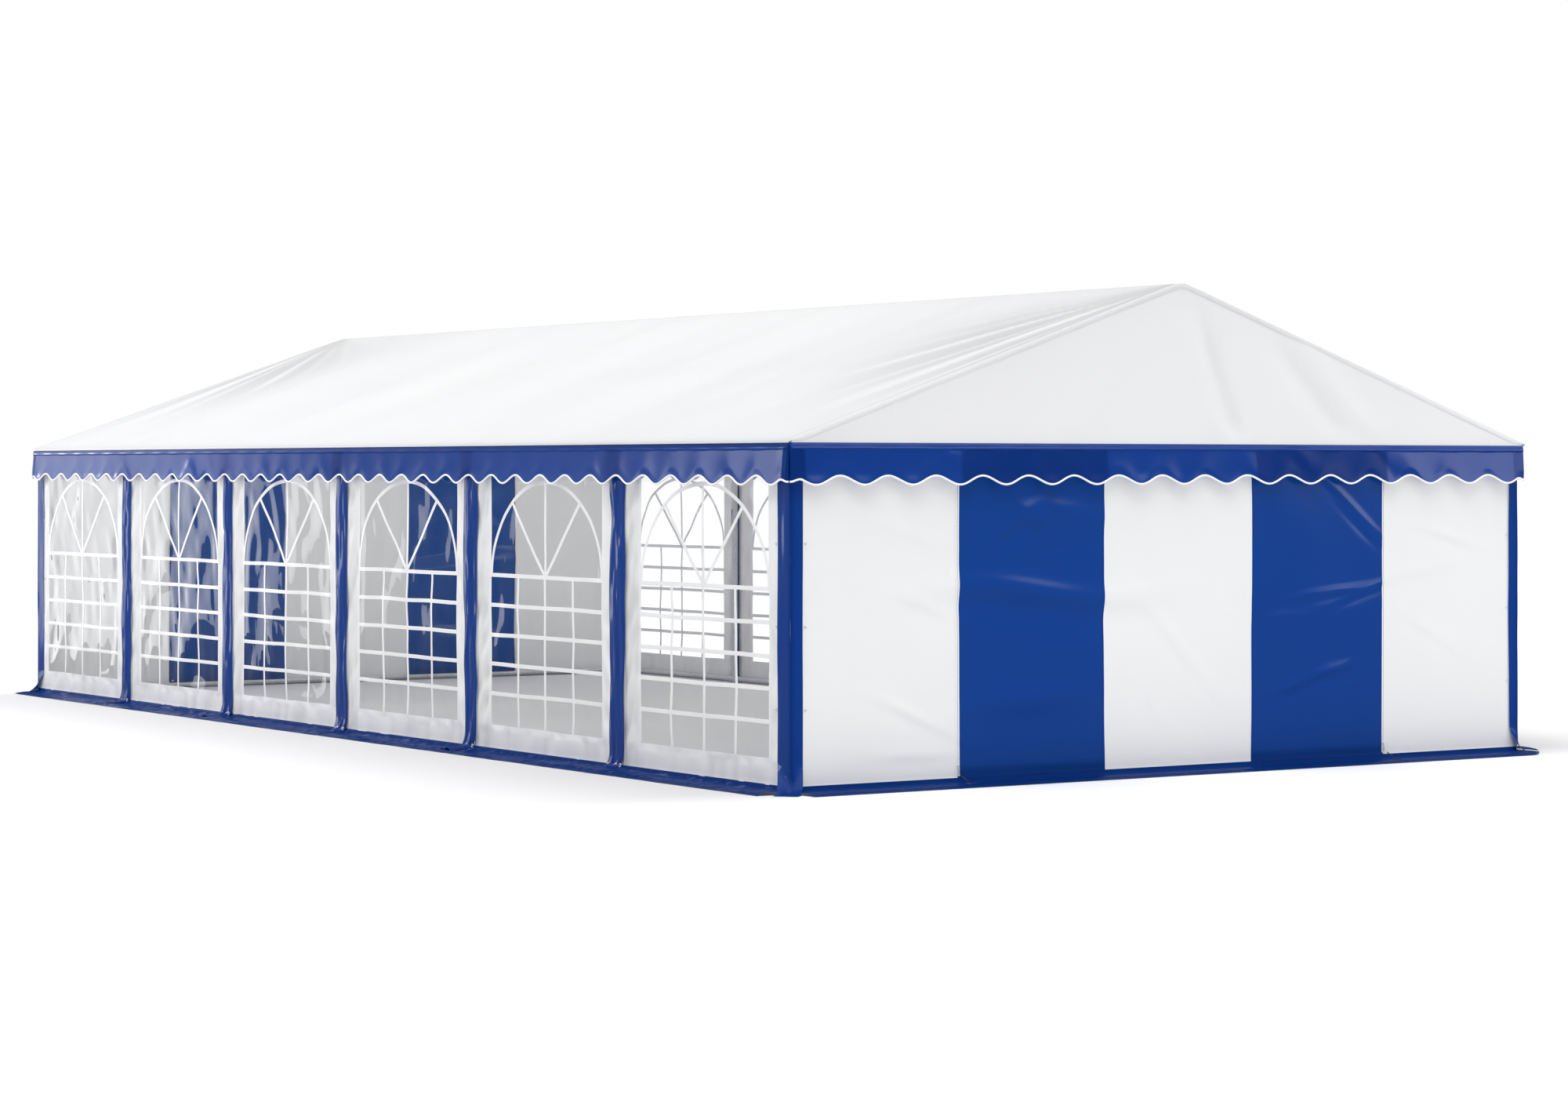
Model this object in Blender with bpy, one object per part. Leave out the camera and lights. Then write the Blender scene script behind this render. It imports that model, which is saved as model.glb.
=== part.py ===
"""Marquee tent of six bays: tube frame, ridged roof cover, window walls and striped gable walls.

Metres, +Z up. X runs across the gables, Y along the ridge, and the front gable faces -Y.
The origin is on the ground, under the middle of the tent.
"""

import math

import bmesh
import bpy
from mathutils import Matrix, Vector

# Driving dimensions, in metres
BAYS = 6
BAY = 2.0
HALF_LENGTH = BAYS * BAY / 2  # middle to the outer face of a gable wall
HALF_WIDTH = 2.985  # middle to the outer face of a window wall
EAVE_Z = 2.12  # lower outer edge of the roof cover
RIDGE_Z = 3.15
WALL_TOP = 2.10
WALL_FOOT = 0.002  # above the ground, which the skirt touches
OVERHANG = 0.030  # roof cover and valances beyond the wall faces

# Sheets
SHEET = 0.008
ROOF_SHEET = 0.010
COVER_SHEET = 0.006
FILM_SHEET = 0.004
GAP = 0.0003  # between pieces that touch
PANEL_GAP = 0.001  # between neighbouring wall panels

# Tube frame
TUBE_SIDES = 12
TUBE_R = 0.024
BAR_R = 0.019
SLEEVE_WALL = 0.006
SLEEVE_HALF = 0.080
SLEEVE_R = TUBE_R + SLEEVE_WALL
BAR_SLEEVE_R = BAR_R + SLEEVE_WALL
BAR_Z = 0.032
PLATE = 0.006
PLATE_SIDE = 0.150
PLATE_INSET = 0.002  # from the sleeve ends to the plate's outer edges
RAIL_R = 0.021

# Wall details
WINDOW_HALF = 0.752
WINDOW_SILL = 0.203
WINDOW_HEAD = 1.96
FLAP_NEAR = 0.050  # joint flap, towards the front of its post line
FLAP_FAR = 0.130
COVER_LONG = 0.140  # corner cover, along the window wall
COVER_GABLE = 0.085
SKIRT_OUT = 0.250
SKIRT_TOP = 0.050
SKIRT_STEPS = 5
SIDE_STRIPE = 1.232  # white stripe at each side of a gable
MIDDLE_STRIPE_HALF = 0.612

# Valance
LONG_WAVES = 36
GABLE_WAVES = 17
WAVE_STEPS = 4
WAVE_MIDDLE = 0.2375  # below the eave
WAVE_HEIGHT = 0.0275

# Making
CUT_REACH = 1.0  # how far a cutter runs past what it cuts
WELD = 1e-5
SMOOTH_BELOW = math.radians(40)  # between the flats of a tube

# Worked out from the above
SLOPE = (RIDGE_Z - EAVE_Z) / (HALF_WIDTH + OVERHANG)
PITCH = math.atan(SLOPE)
ROOF_DROP = ROOF_SHEET / math.cos(PITCH)
POST_X = HALF_WIDTH - SHEET - GAP - SLEEVE_R
END_Y = HALF_LENGTH - SHEET - GAP - SLEEVE_R
FRAME_END = HALF_LENGTH - SHEET - GAP
STRIPE_EDGES = (
    -HALF_WIDTH + SIDE_STRIPE,
    -MIDDLE_STRIPE_HALF,
    MIDDLE_STRIPE_HALF,
    HALF_WIDTH - SIDE_STRIPE,
)


def roof_underside(x):
    """Height of the roof cover's lower face."""
    return RIDGE_Z - SLOPE * abs(x) - ROOF_DROP


def tube_reach(radius, angle):
    """How far a tube with flat sides reaches in a direction, from its axis."""
    corners = (2 * math.pi * i / TUBE_SIDES for i in range(TUBE_SIDES))
    return radius * max(math.cos(corner - angle) for corner in corners)


def purlin_z(x):
    """Height of the rafters' and sleeved purlins' axes: the sleeves carry the roof cover."""
    below = tube_reach(SLEEVE_R, math.pi / 2 - PITCH) + GAP
    return roof_underside(x) - below / math.cos(PITCH)


SLEEVED_PURLINS = {"left_eave_purlin": -POST_X, "ridge_purlin": 0.0, "right_eave_purlin": POST_X}
EAVE_AXIS_Z = purlin_z(POST_X)

# The middle purlins hang against the undersides of the rafters.
UNDER_RAFTER = (
    TUBE_R * math.cos(math.pi / TUBE_SIDES) + tube_reach(TUBE_R, math.pi / 2 - PITCH) + GAP
)
MID_PURLIN_X = POST_X / 2 - UNDER_RAFTER * math.sin(PITCH)
MID_PURLIN_Z = purlin_z(POST_X / 2) - UNDER_RAFTER * math.cos(PITCH)


def clear_scene():
    for obj in list(bpy.data.objects):
        bpy.data.objects.remove(obj, do_unlink=True)


def new_material(name, colour, roughness, metallic=0.0, alpha=1.0):
    material = bpy.data.materials.new(name)
    material.use_nodes = True
    shader = material.node_tree.nodes["Principled BSDF"]
    shader.inputs["Base Color"].default_value = (*colour, 1.0)
    shader.inputs["Roughness"].default_value = roughness
    shader.inputs["Metallic"].default_value = metallic
    shader.inputs["Alpha"].default_value = alpha
    return material


def evaluated_mesh(obj):
    """A free copy of the object's mesh, with its curve or modifiers worked out."""
    bpy.context.view_layer.update()
    graph = bpy.context.evaluated_depsgraph_get()
    return bpy.data.meshes.new_from_object(obj.evaluated_get(graph))


def tidy_mesh(mesh):
    """Welds the loose caps and turns every face outwards."""
    bm = bmesh.new()
    bm.from_mesh(mesh)
    bmesh.ops.remove_doubles(bm, verts=bm.verts, dist=WELD)
    bmesh.ops.recalc_face_normals(bm, faces=bm.faces)
    bm.to_mesh(mesh)
    bm.free()


def link(name, mesh, collection):
    obj = bpy.data.objects.new(name, mesh)
    collection.objects.link(obj)
    return obj


def outline_mesh(name, points, low, high, frame):
    """A flat outline from low to high along the third axis of frame."""
    curve = bpy.data.curves.new(name, "CURVE")
    curve.dimensions = "2D"
    curve.fill_mode = "BOTH"
    curve.extrude = (high - low) / 2
    spline = curve.splines.new("POLY")
    spline.points.add(len(points) - 1)
    for point, (u, v) in zip(spline.points, points):
        point.co = (u, v, 0.0, 1.0)
    spline.use_cyclic_u = True
    guide = link(name, curve, helpers)
    mesh = evaluated_mesh(guide)
    bpy.data.objects.remove(guide, do_unlink=True)
    mesh.transform(Matrix.Translation((0, 0, (low + high) / 2)))
    mesh.transform(frame)
    tidy_mesh(mesh)
    return mesh


def axes(first, second, third):
    """Matrix that sends an outline's two axes and its depth along the given directions."""
    return Matrix((first, second, third)).transposed().to_4x4()


X, Y, Z = Vector((1, 0, 0)), Vector((0, 1, 0)), Vector((0, 0, 1))
PLAN = axes(X, Y, Z)
ACROSS = axes(X, Z, Y)  # outline in X and Z, depth along Y
ALONG = axes(Y, Z, X)  # outline in Y and Z, depth along X


def box_mesh(name, low, high):
    low, high = Vector(low), Vector(high)
    bm = bmesh.new()
    bmesh.ops.create_cube(bm, size=1.0)
    bmesh.ops.scale(bm, vec=high - low, verts=bm.verts)
    bmesh.ops.translate(bm, vec=(low + high) / 2, verts=bm.verts)
    mesh = bpy.data.meshes.new(name)
    bm.to_mesh(mesh)
    bm.free()
    return mesh


def tube_mesh(name, start, end, radius):
    start, end = Vector(start), Vector(end)
    run = end - start
    bm = bmesh.new()
    bmesh.ops.create_cone(
        bm,
        cap_ends=True,
        segments=TUBE_SIDES,
        radius1=radius,
        radius2=radius,
        depth=run.length,
    )
    if abs(run.y) > abs(run.x) + abs(run.z):
        turn = Matrix.Rotation(-math.pi / 2, 4, "X")
    else:
        half_side = Matrix.Rotation(math.pi / TUBE_SIDES, 4, "Z")
        turn = run.to_track_quat("Z", "Y").to_matrix().to_4x4() @ half_side
    bmesh.ops.transform(bm, matrix=Matrix.Translation((start + end) / 2) @ turn, verts=bm.verts)
    mesh = bpy.data.meshes.new(name)
    bm.to_mesh(mesh)
    bm.free()
    return mesh


def combine(name, base, added=(), removed=(), solver="EXACT"):
    """One mesh from a base, what is joined to it and what is cut from it."""
    body = link(name, base, helpers)
    operands = [("UNION", mesh) for mesh in added] + [("DIFFERENCE", mesh) for mesh in removed]
    tools = []
    for operation, mesh in operands:
        tool = link(f"{name}_{operation.lower()}", mesh, helpers)
        modifier = body.modifiers.new(tool.name, "BOOLEAN")
        modifier.operation = operation
        modifier.solver = solver
        modifier.object = tool
        tools.append(tool)
    mesh = evaluated_mesh(body)
    for obj in [body, *tools]:
        bpy.data.objects.remove(obj, do_unlink=True)
    mesh.name = name
    return mesh


def add_node(name, mesh, *materials, pick=None):
    """Puts a finished piece in the tent. pick gives the material's number for a face's middle."""
    obj = link(name, mesh, tent)
    obj.parent = anchor
    if not mesh.materials:
        for material in materials:
            mesh.materials.append(material)
        for face in mesh.polygons:
            face.material_index = pick(face.center) if pick else 0
    return obj


def shade_tubes(mesh):
    mesh.shade_smooth()
    mesh.set_sharp_from_angle(angle=SMOOTH_BELOW)


def cross_tube(x, z, low, high, radius):
    """A tube along Y."""
    return tube_mesh("tube", (x, low, z), (x, high, z), radius)


def portal_mesh(name, sleeve_low, sleeve_high, plate_low, plate_high, extra):
    """Posts, rafters, connectors and base plates of one portal, at y = 0."""
    added = list(extra)
    removed = []
    for side in (-1, 1):
        x = side * POST_X
        over = side * PLATE_INSET * 2
        top = EAVE_AXIS_Z + PLATE_INSET
        added.append(tube_mesh("post", (x, 0, PLATE / 2), (x, 0, top), TUBE_R))
        eave = (x + over, 0, purlin_z(x + over))
        ridge = (-over / 2, 0, purlin_z(0) + SLOPE * abs(over / 2))
        added.append(tube_mesh("rafter", eave, ridge, TUBE_R))
        added.append(cross_tube(x, BAR_Z, sleeve_low, sleeve_high, BAR_SLEEVE_R))
        outer = SLEEVE_R - PLATE_INSET
        reach = sorted((x - side * (PLATE_SIDE - outer), x + side * outer))
        low = (reach[0], plate_low, 0)
        high = (reach[1], plate_high, PLATE)
        added.append(box_mesh("plate", low, high))
        removed.append(cross_tube(x, BAR_Z, -CUT_REACH, CUT_REACH, BAR_R + GAP))
    for x in SLEEVED_PURLINS.values():
        added.append(cross_tube(x, purlin_z(x), sleeve_low, sleeve_high, SLEEVE_R))
        removed.append(cross_tube(x, purlin_z(x), -CUT_REACH, CUT_REACH, TUBE_R + GAP))
    # Tubes that cross on one axis leave open edges with the exact solver.
    mesh = combine(name, added[0], added[1:], removed, solver="MANIFOLD")
    shade_tubes(mesh)
    return mesh


def build_frame():
    half_plate = PLATE_SIDE / 2
    between = portal_mesh("portal", -SLEEVE_HALF, SLEEVE_HALF, -half_plate, half_plate, ())
    for i in range(1, BAYS):
        portal = add_node(f"portal_frame_{i}", between, steel)
        portal.location.y = i * BAY - HALF_LENGTH

    # The gable frames also have an eave rail and a sill bar, which carry the gable walls.
    rail = tube_mesh("rail", (-POST_X, 0, EAVE_AXIS_Z), (POST_X, 0, EAVE_AXIS_Z), RAIL_R)
    sill = tube_mesh("sill", (-POST_X, 0, BAR_Z), (POST_X, 0, BAR_Z), BAR_R)
    outer = SLEEVE_R - PLATE_INSET
    inner = outer - PLATE_SIDE
    ends = portal_mesh("gable_frame", -SLEEVE_HALF, SLEEVE_R, inner, outer, (rail, sill))
    back = add_node("back_gable_frame", ends, steel)
    back.location.y = END_Y
    front = add_node("front_gable_frame", ends, steel)
    front.location.y = -END_Y
    front.rotation_euler.z = math.pi

    long_tubes = [(name, x, purlin_z(x), TUBE_R) for name, x in SLEEVED_PURLINS.items()]
    for side_name, side in (("left", -1), ("right", 1)):
        long_tubes.append((f"{side_name}_mid_purlin", side * MID_PURLIN_X, MID_PURLIN_Z, TUBE_R))
        long_tubes.append((f"{side_name}_ground_bar", side * POST_X, BAR_Z, BAR_R))
    for name, x, z, radius in long_tubes:
        mesh = cross_tube(x, z, -FRAME_END, FRAME_END, radius)
        shade_tubes(mesh)
        add_node(name, mesh, steel)


def build_roof():
    edge = HALF_WIDTH + OVERHANG
    reach = HALF_LENGTH + OVERHANG
    for name, side in (("left_roof_slope", -1), ("right_roof_slope", 1)):
        near = GAP / 2
        outline = [
            (side * near, RIDGE_Z - SLOPE * near),
            (side * edge, EAVE_Z),
            (side * edge, EAVE_Z - ROOF_DROP),
            (side * near, roof_underside(near)),
        ]
        add_node(name, outline_mesh(name, outline, -reach, reach, ACROSS), white)


def build_gable_tops():
    """The white triangles above the gable valances."""
    tip = HALF_WIDTH
    base_z = EAVE_Z - ROOF_DROP
    lift = GAP / math.cos(PITCH)
    outline = [
        (-tip, base_z),
        (tip, base_z),
        (tip, roof_underside(tip) - lift),
        (0, roof_underside(0) - lift),
        (-tip, roof_underside(tip) - lift),
    ]
    outer = HALF_LENGTH + OVERHANG
    inner = outer - SHEET
    add_node("back_gable_top", outline_mesh("gable", outline, inner, outer, ACROSS), white)
    add_node("front_gable_top", outline_mesh("gable", outline, -outer, -inner, ACROSS), white)


def wave_outline(half, waves):
    """Valance outline: a straight top and a waved lower edge, which is high at both ends."""
    top = EAVE_Z - ROOF_DROP - GAP
    high = EAVE_Z - WAVE_MIDDLE + WAVE_HEIGHT
    low = EAVE_Z - WAVE_MIDDLE - WAVE_HEIGHT
    points = [(half, top), (-half, top), (-half, high)]
    for i in range(waves * WAVE_STEPS):
        wave = (i + 0.5) / WAVE_STEPS
        z = high if math.cos(2 * math.pi * wave) > 0 else low
        points.append((-half + 2 * half * wave / waves, z))
    points.append((half, high))
    return points


def build_valances():
    long_half = HALF_LENGTH + OVERHANG
    side_outer = HALF_WIDTH + OVERHANG
    side_inner = side_outer - SHEET
    short_half = side_inner - GAP
    end_inner = long_half - SHEET
    outline = wave_outline(long_half, LONG_WAVES)
    for name, low, high in (
        ("left_valance", -side_outer, -side_inner),
        ("right_valance", side_inner, side_outer),
    ):
        add_node(name, outline_mesh(name, outline, low, high, ALONG), blue)
    outline = wave_outline(short_half, GABLE_WAVES)
    for name, low, high in (
        ("front_valance", -long_half, -end_inner),
        ("back_valance", end_inner, long_half),
    ):
        add_node(name, outline_mesh(name, outline, low, high, ACROSS), blue)


def skirt_outline(face, side):
    """Ground skirt in section, a low roll at the foot of the wall, whose outer face is at face."""
    section = [(-SHEET / 2, 0)]
    for i in range(SKIRT_STEPS + 1):
        turn = math.pi / 2 * i / SKIRT_STEPS
        section.append((SKIRT_OUT * math.cos(turn), SKIRT_TOP * math.sin(turn)))
    section.append((-SHEET / 2, SKIRT_TOP))
    return [(side * (face + out), z) for out, z in section]


def window_panel(side, bay):
    """Window panel with its window cut out, its ground skirt, and the flap over its front joint."""
    post_y = bay * BAY - HALF_LENGTH
    first, last = bay == 0, bay == BAYS - 1
    near = -FRAME_END if first else post_y + PANEL_GAP / 2
    far = FRAME_END if last else post_y + BAY - PANEL_GAP / 2
    plan = [(-SHEET, near), (-SHEET, far), (0, far)]
    if first:
        plan.append((0, near))
    else:
        plan += [
            (0, post_y + FLAP_FAR),
            (COVER_SHEET, post_y + FLAP_FAR),
            (COVER_SHEET, post_y - FLAP_NEAR),
            (GAP, post_y - FLAP_NEAR),
            (GAP, near),
        ]
    plan = [(side * (HALF_WIDTH + out), y) for out, y in plan]
    wall = outline_mesh("wall", plan, WALL_FOOT, WALL_TOP, PLAN)

    corner = COVER_LONG + COVER_SHEET
    skirt_near = -HALF_LENGTH + corner if first else near + PANEL_GAP
    skirt_far = HALF_LENGTH - corner if last else far - FLAP_NEAR - PANEL_GAP
    section = skirt_outline(HALF_WIDTH, side)
    skirt = outline_mesh("skirt", section, skirt_near, skirt_far, ACROSS)
    middle = post_y + BAY / 2
    inner, outer = sorted((side * (HALF_WIDTH - CUT_REACH), side * (HALF_WIDTH + CUT_REACH)))
    hole = box_mesh(
        "hole",
        (inner, middle - WINDOW_HALF, WINDOW_SILL),
        (outer, middle + WINDOW_HALF, WINDOW_HEAD),
    )
    return combine("window_panel", wall, [skirt], [hole])


def window_film(side, bay):
    middle = bay * BAY - HALF_LENGTH + BAY / 2
    half = WINDOW_HALF - GAP
    depth = HALF_WIDTH - SHEET / 2
    faces = sorted((side * (depth - FILM_SHEET / 2), side * (depth + FILM_SHEET / 2)))
    low = (faces[0], middle - half, WINDOW_SILL + GAP)
    high = (faces[1], middle + half, WINDOW_HEAD - GAP)
    return box_mesh("window_film", low, high)


def build_window_walls():
    for wall, side in (("left", -1), ("right", 1)):
        for bay in range(BAYS):
            outside = HALF_WIDTH + GAP / 2
            panel = window_panel(side, bay)
            add_node(
                f"{wall}_window_panel_{bay + 1}",
                panel,
                white,
                blue,
                pick=lambda middle: int(abs(middle.x) > outside),
            )
            add_node(f"{wall}_window_film_{bay + 1}", window_film(side, bay), film)


def split_at(mesh, places):
    """Adds edges round the mesh at each x, so that stripes can have their own colour."""
    bm = bmesh.new()
    bm.from_mesh(mesh)
    for x in places:
        everything = [*bm.verts, *bm.edges, *bm.faces]
        bmesh.ops.bisect_plane(bm, geom=everything, plane_co=(x, 0, 0), plane_no=X)
    bm.to_mesh(mesh)
    bm.free()


def gable_section(side, low, high, stripes):
    """Part of a gable wall with its ground skirt, from x = low to x = high."""
    ends = (low + PANEL_GAP / 2, high - PANEL_GAP / 2)
    faces = sorted((side * (HALF_LENGTH - SHEET), side * HALF_LENGTH))
    wall = box_mesh("wall", (ends[0], faces[0], WALL_FOOT), (ends[1], faces[1], WALL_TOP))
    limit = HALF_WIDTH - COVER_GABLE - PANEL_GAP
    skirt_low = max(ends[0] + PANEL_GAP, -limit)
    skirt_high = min(ends[1] - PANEL_GAP, limit)
    section = skirt_outline(HALF_LENGTH, side)
    skirt = outline_mesh("skirt", section, skirt_low, skirt_high, ALONG)
    mesh = combine("gable_section", wall, [skirt])
    split_at(mesh, [edge for edge in stripes if low < edge < high])
    return mesh


def build_gable_walls():
    outer = HALF_WIDTH + PANEL_GAP / 2
    sections = (
        ("left_gable_panel", -outer, STRIPE_EDGES[0]),
        ("door_curtain", STRIPE_EDGES[0], STRIPE_EDGES[3]),
        ("right_gable_panel", STRIPE_EDGES[3], outer),
    )

    def stripe(middle):
        skirt = abs(middle.y) > HALF_LENGTH + GAP
        in_blue = MIDDLE_STRIPE_HALF < abs(middle.x) < STRIPE_EDGES[3]
        return int(skirt or in_blue)

    for end, side in (("front", -1), ("back", 1)):
        for name, low, high in sections:
            mesh = gable_section(side, low, high, STRIPE_EDGES)
            add_node(f"{end}_{name}", mesh, white, blue, pick=stripe)


def build_corner_covers():
    for end, y_side in (("front", -1), ("back", 1)):
        for wall, x_side in (("left", -1), ("right", 1)):
            outer_x = HALF_WIDTH + COVER_SHEET
            outer_y = HALF_LENGTH + COVER_SHEET
            inner_x = HALF_WIDTH + GAP
            inner_y = HALF_LENGTH + GAP
            gable_end = HALF_WIDTH - COVER_GABLE
            long_end = HALF_LENGTH - COVER_LONG
            plan = [
                (gable_end, inner_y),
                (gable_end, outer_y),
                (outer_x, outer_y),
                (outer_x, long_end),
                (inner_x, long_end),
                (inner_x, inner_y),
            ]
            plan = [(x_side * x, y_side * y) for x, y in plan]
            name = f"{end}_{wall}_corner_cover"
            add_node(name, outline_mesh(name, plan, 0, WALL_TOP, PLAN), blue)


clear_scene()
tent = bpy.data.collections.new("marquee_tent")
helpers = bpy.data.collections.new("helpers")
helpers.hide_render = True
for group in (tent, helpers):
    bpy.context.scene.collection.children.link(group)
anchor = bpy.data.objects.new("tent_origin", None)
tent.objects.link(anchor)

white = new_material("white_pvc", (0.86, 0.87, 0.88), 0.35)
blue = new_material("blue_pvc", (0.035, 0.075, 0.32), 0.32)
film = new_material("clear_film", (0.86, 0.90, 0.92), 0.08, alpha=0.25)
steel = new_material("galvanised_steel", (0.62, 0.64, 0.66), 0.35, metallic=1.0)

build_frame()
build_roof()
build_gable_tops()
build_valances()
build_window_walls()
build_gable_walls()
build_corner_covers()
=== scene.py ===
import math
import bmesh
import bpy
import numpy as np
from mathutils import Matrix, Vector


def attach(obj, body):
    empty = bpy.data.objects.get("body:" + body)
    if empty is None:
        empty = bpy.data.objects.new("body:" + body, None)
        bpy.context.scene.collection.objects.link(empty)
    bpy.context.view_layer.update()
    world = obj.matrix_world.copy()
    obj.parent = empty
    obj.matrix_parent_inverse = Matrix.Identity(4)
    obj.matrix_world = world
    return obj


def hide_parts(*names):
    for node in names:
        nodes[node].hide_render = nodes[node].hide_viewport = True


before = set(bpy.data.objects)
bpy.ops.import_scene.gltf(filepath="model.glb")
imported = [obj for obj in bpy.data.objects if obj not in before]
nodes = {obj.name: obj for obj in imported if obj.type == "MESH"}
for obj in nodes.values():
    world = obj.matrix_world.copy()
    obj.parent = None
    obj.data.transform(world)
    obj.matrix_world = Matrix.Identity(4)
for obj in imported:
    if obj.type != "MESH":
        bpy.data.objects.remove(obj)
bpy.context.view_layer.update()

scene = bpy.context.scene

tent = {  # metres, as in the frame
    "bays": 6,
    "bay": 2.0,
    "halfLength": 6.0,  # middle to the outer face of a gable wall
    "halfWidth": 2.985,  # middle to the outer face of a window wall
    "eave": 2.12,
    "ridge": 3.15,
    "wallTop": 2.10,
    "overhang": 0.030,
    "postX": 2.9467,  # axes of the posts
    "postY": 5.9617,
}
slope = (tent["ridge"] - tent["eave"]) / (tent["halfWidth"] + tent["overhang"])
pitch = math.atan(slope)
longWalls = ("left", "right")
gableEnds = ("front", "back")


# Camera and light

view = {
    "place": (-15.04, -24.44, 1.95),
    "turn": (90.0, 0.0, -33.07),
    "lens": 84.45,
    "shiftY": -0.05095,
}
bpy.ops.object.camera_add(location=view["place"], rotation=[math.radians(a) for a in view["turn"]])
camera = bpy.context.object
camera.data.lens = view["lens"]
camera.data.sensor_width = 36
camera.data.shift_y = view["shiftY"]
camera.data.clip_end = 2000
scene.camera = camera
scene.view_settings.view_transform = "Standard"
scene.view_settings.look = "None"

studio = {
    "backdrop": 1.0,  # what the camera sees behind the tent
    "frontHorizon": 0.07,  # what lights and is mirrored, low down
    "backHorizon": 0.22,
    "zenith": 1.07,
    "keyStrength": 1.48,
    "keyFrom": (-0.30, -0.36, 0.95),
    "keySpread": 34.0,
    "panels": (  # name, place, facing, size, brightness: large soft boxes
        ("side_far_box", (-11.2, 25.0, 1.8), (0.0, -1.0, 0.0), (7.0, 4.6), 1.1),
        ("side_high_box", (-9.2, 25.0, 7.0), (0.0, -1.0, 0.0), (3.6, 7.0), 8.0),
        ("side_dim_box", (-12.3, 25.0, 8.0), (0.0, -1.0, 0.0), (2.2, 6.0), 1.2),
        ("side_near_box", (-11.0, 5.6, 5.6), (1.0, -0.3, -0.1), (4.0, 7.0), 2.2),
        ("gable_box", (14.4, -15.5, 6.4), (-0.6, 1.0, -0.1), (8.4, 8.8), 0.75),
        ("gable_far_box", (13.2, -16.2, 4.8), (-0.6, 1.0, -0.1), (3.4, 5.0), 1.7),
        ("side_strip", (-16.0, -2.0, 2.5), (1.0, 0.0, 0.0), (1.6, 7.0), 1.5),
        ("gable_gleam_box", (6.2, -16.6, 7.3), (-0.15, 1.0, -0.1), (5.4, 4.8), 1.6),
    ),
    "fills": (  # low lights that aren't mirrored
        ("gable_fill", (0.6, -8.4, 0.25), (0.0, 1.0, 0.1), (11.0, 0.5), 1.0),
        ("hall_fill", (0.0, 0.0, 0.4), (0.0, 0.0, 1.0), (4.5, 10.5), 0.15),
    ),
}


# Shader maths

class Wire:  # a socket that takes part in plain sums
    def __init__(self, graph, socket):
        self.graph, self.socket = graph, socket

    def sum(self, operation, first, second=0.0):
        return self.graph.add("ShaderNodeMath", {"operation": operation}, {0: first, 1: second})

    def __add__(self, other):
        return self.sum("ADD", self, other)

    def __radd__(self, other):
        return self.sum("ADD", other, self)

    def __sub__(self, other):
        return self.sum("SUBTRACT", self, other)

    def __rsub__(self, other):
        return self.sum("SUBTRACT", other, self)

    def __mul__(self, other):
        return self.sum("MULTIPLY", self, other)

    def __rmul__(self, other):
        return self.sum("MULTIPLY", other, self)

    def __pow__(self, other):
        return self.sum("POWER", self, other)

    def size(self):
        return self.sum("ABSOLUTE", self)

    def limit(self, low, high):
        return self.sum("MINIMUM", self.sum("MAXIMUM", self, low), high)


class Graph:  # the nodes of one material or world
    def __init__(self, owner):
        self.owner = owner
        owner.use_nodes = True
        self.tree = owner.node_tree
        self.tree.nodes.clear()

    def add(self, kind, settings=None, sockets=None, out=0):
        node = self.tree.nodes.new(kind)
        for key, value in (settings or {}).items():
            setattr(node, key, value)
        for key, value in (sockets or {}).items():
            if isinstance(value, Wire):
                self.tree.links.new(value.socket, node.inputs[key])
            else:
                node.inputs[key].default_value = value
        return Wire(self, node.outputs[out]) if node.outputs else None

    def blend(self, factor, first, second):  # colours
        return self.add("ShaderNodeMix", {"data_type": "RGBA"}, {0: factor, 6: first, 7: second}, 2)

    def step(self, value, low, high):  # 0 at low, 1 at high
        sockets = {"Value": value, "From Min": low, "From Max": high}
        return self.add("ShaderNodeMapRange", {"interpolation_type": "SMOOTHSTEP"}, sockets)

    def place(self, scale=(1, 1, 1)):
        here = self.add("ShaderNodeTexCoord", out="Object")
        return self.add("ShaderNodeMapping", None, {"Vector": here, "Scale": scale})

    def noise(self, where, scale, detail=2.0, distortion=0.0):
        sockets = {"Vector": where, "Scale": scale, "Detail": detail, "Distortion": distortion}
        return self.add("ShaderNodeTexNoise", None, sockets)

    def threads(self, where, scale, direction):
        settings = {"wave_type": "BANDS", "bands_direction": direction}
        return self.add("ShaderNodeTexWave", settings, {"Vector": where, "Scale": scale, "Distortion": 0.6})

    def axis(self, where, name):
        return self.add("ShaderNodeSeparateXYZ", None, {0: where}, name)

    def bump(self, height, distance, strength=1.0, under=None):
        sockets = {"Height": height, "Distance": distance, "Strength": strength}
        if under is not None:
            sockets["Normal"] = under
        return self.add("ShaderNodeBump", None, sockets)

    def principled(self, sockets):
        return self.add("ShaderNodeBsdfPrincipled", None, sockets)

    def finish(self, shader):
        self.add("ShaderNodeOutputMaterial", None, {"Surface": shader})
        return self.owner


def lightTheWorld():
    world = bpy.data.worlds.new("studio")
    scene.world = world
    g = Graph(world)
    here = g.add("ShaderNodeTexCoord", out="Generated")
    back = g.step(g.axis(here, "Y"), -0.3, 0.3)
    low = studio["frontHorizon"] + back * (studio["backHorizon"] - studio["frontHorizon"])
    rise = g.step(g.axis(here, "Z"), 0.12, 0.88)
    sky = low + rise * (studio["zenith"] - low)
    seen = g.add("ShaderNodeLightPath", out="Is Camera Ray")
    strength = sky + seen * (studio["backdrop"] - sky)
    glow = g.add("ShaderNodeBackground", None, {"Color": (1, 1, 1, 1), "Strength": strength})
    g.add("ShaderNodeOutputWorld", None, {"Surface": glow})


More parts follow.
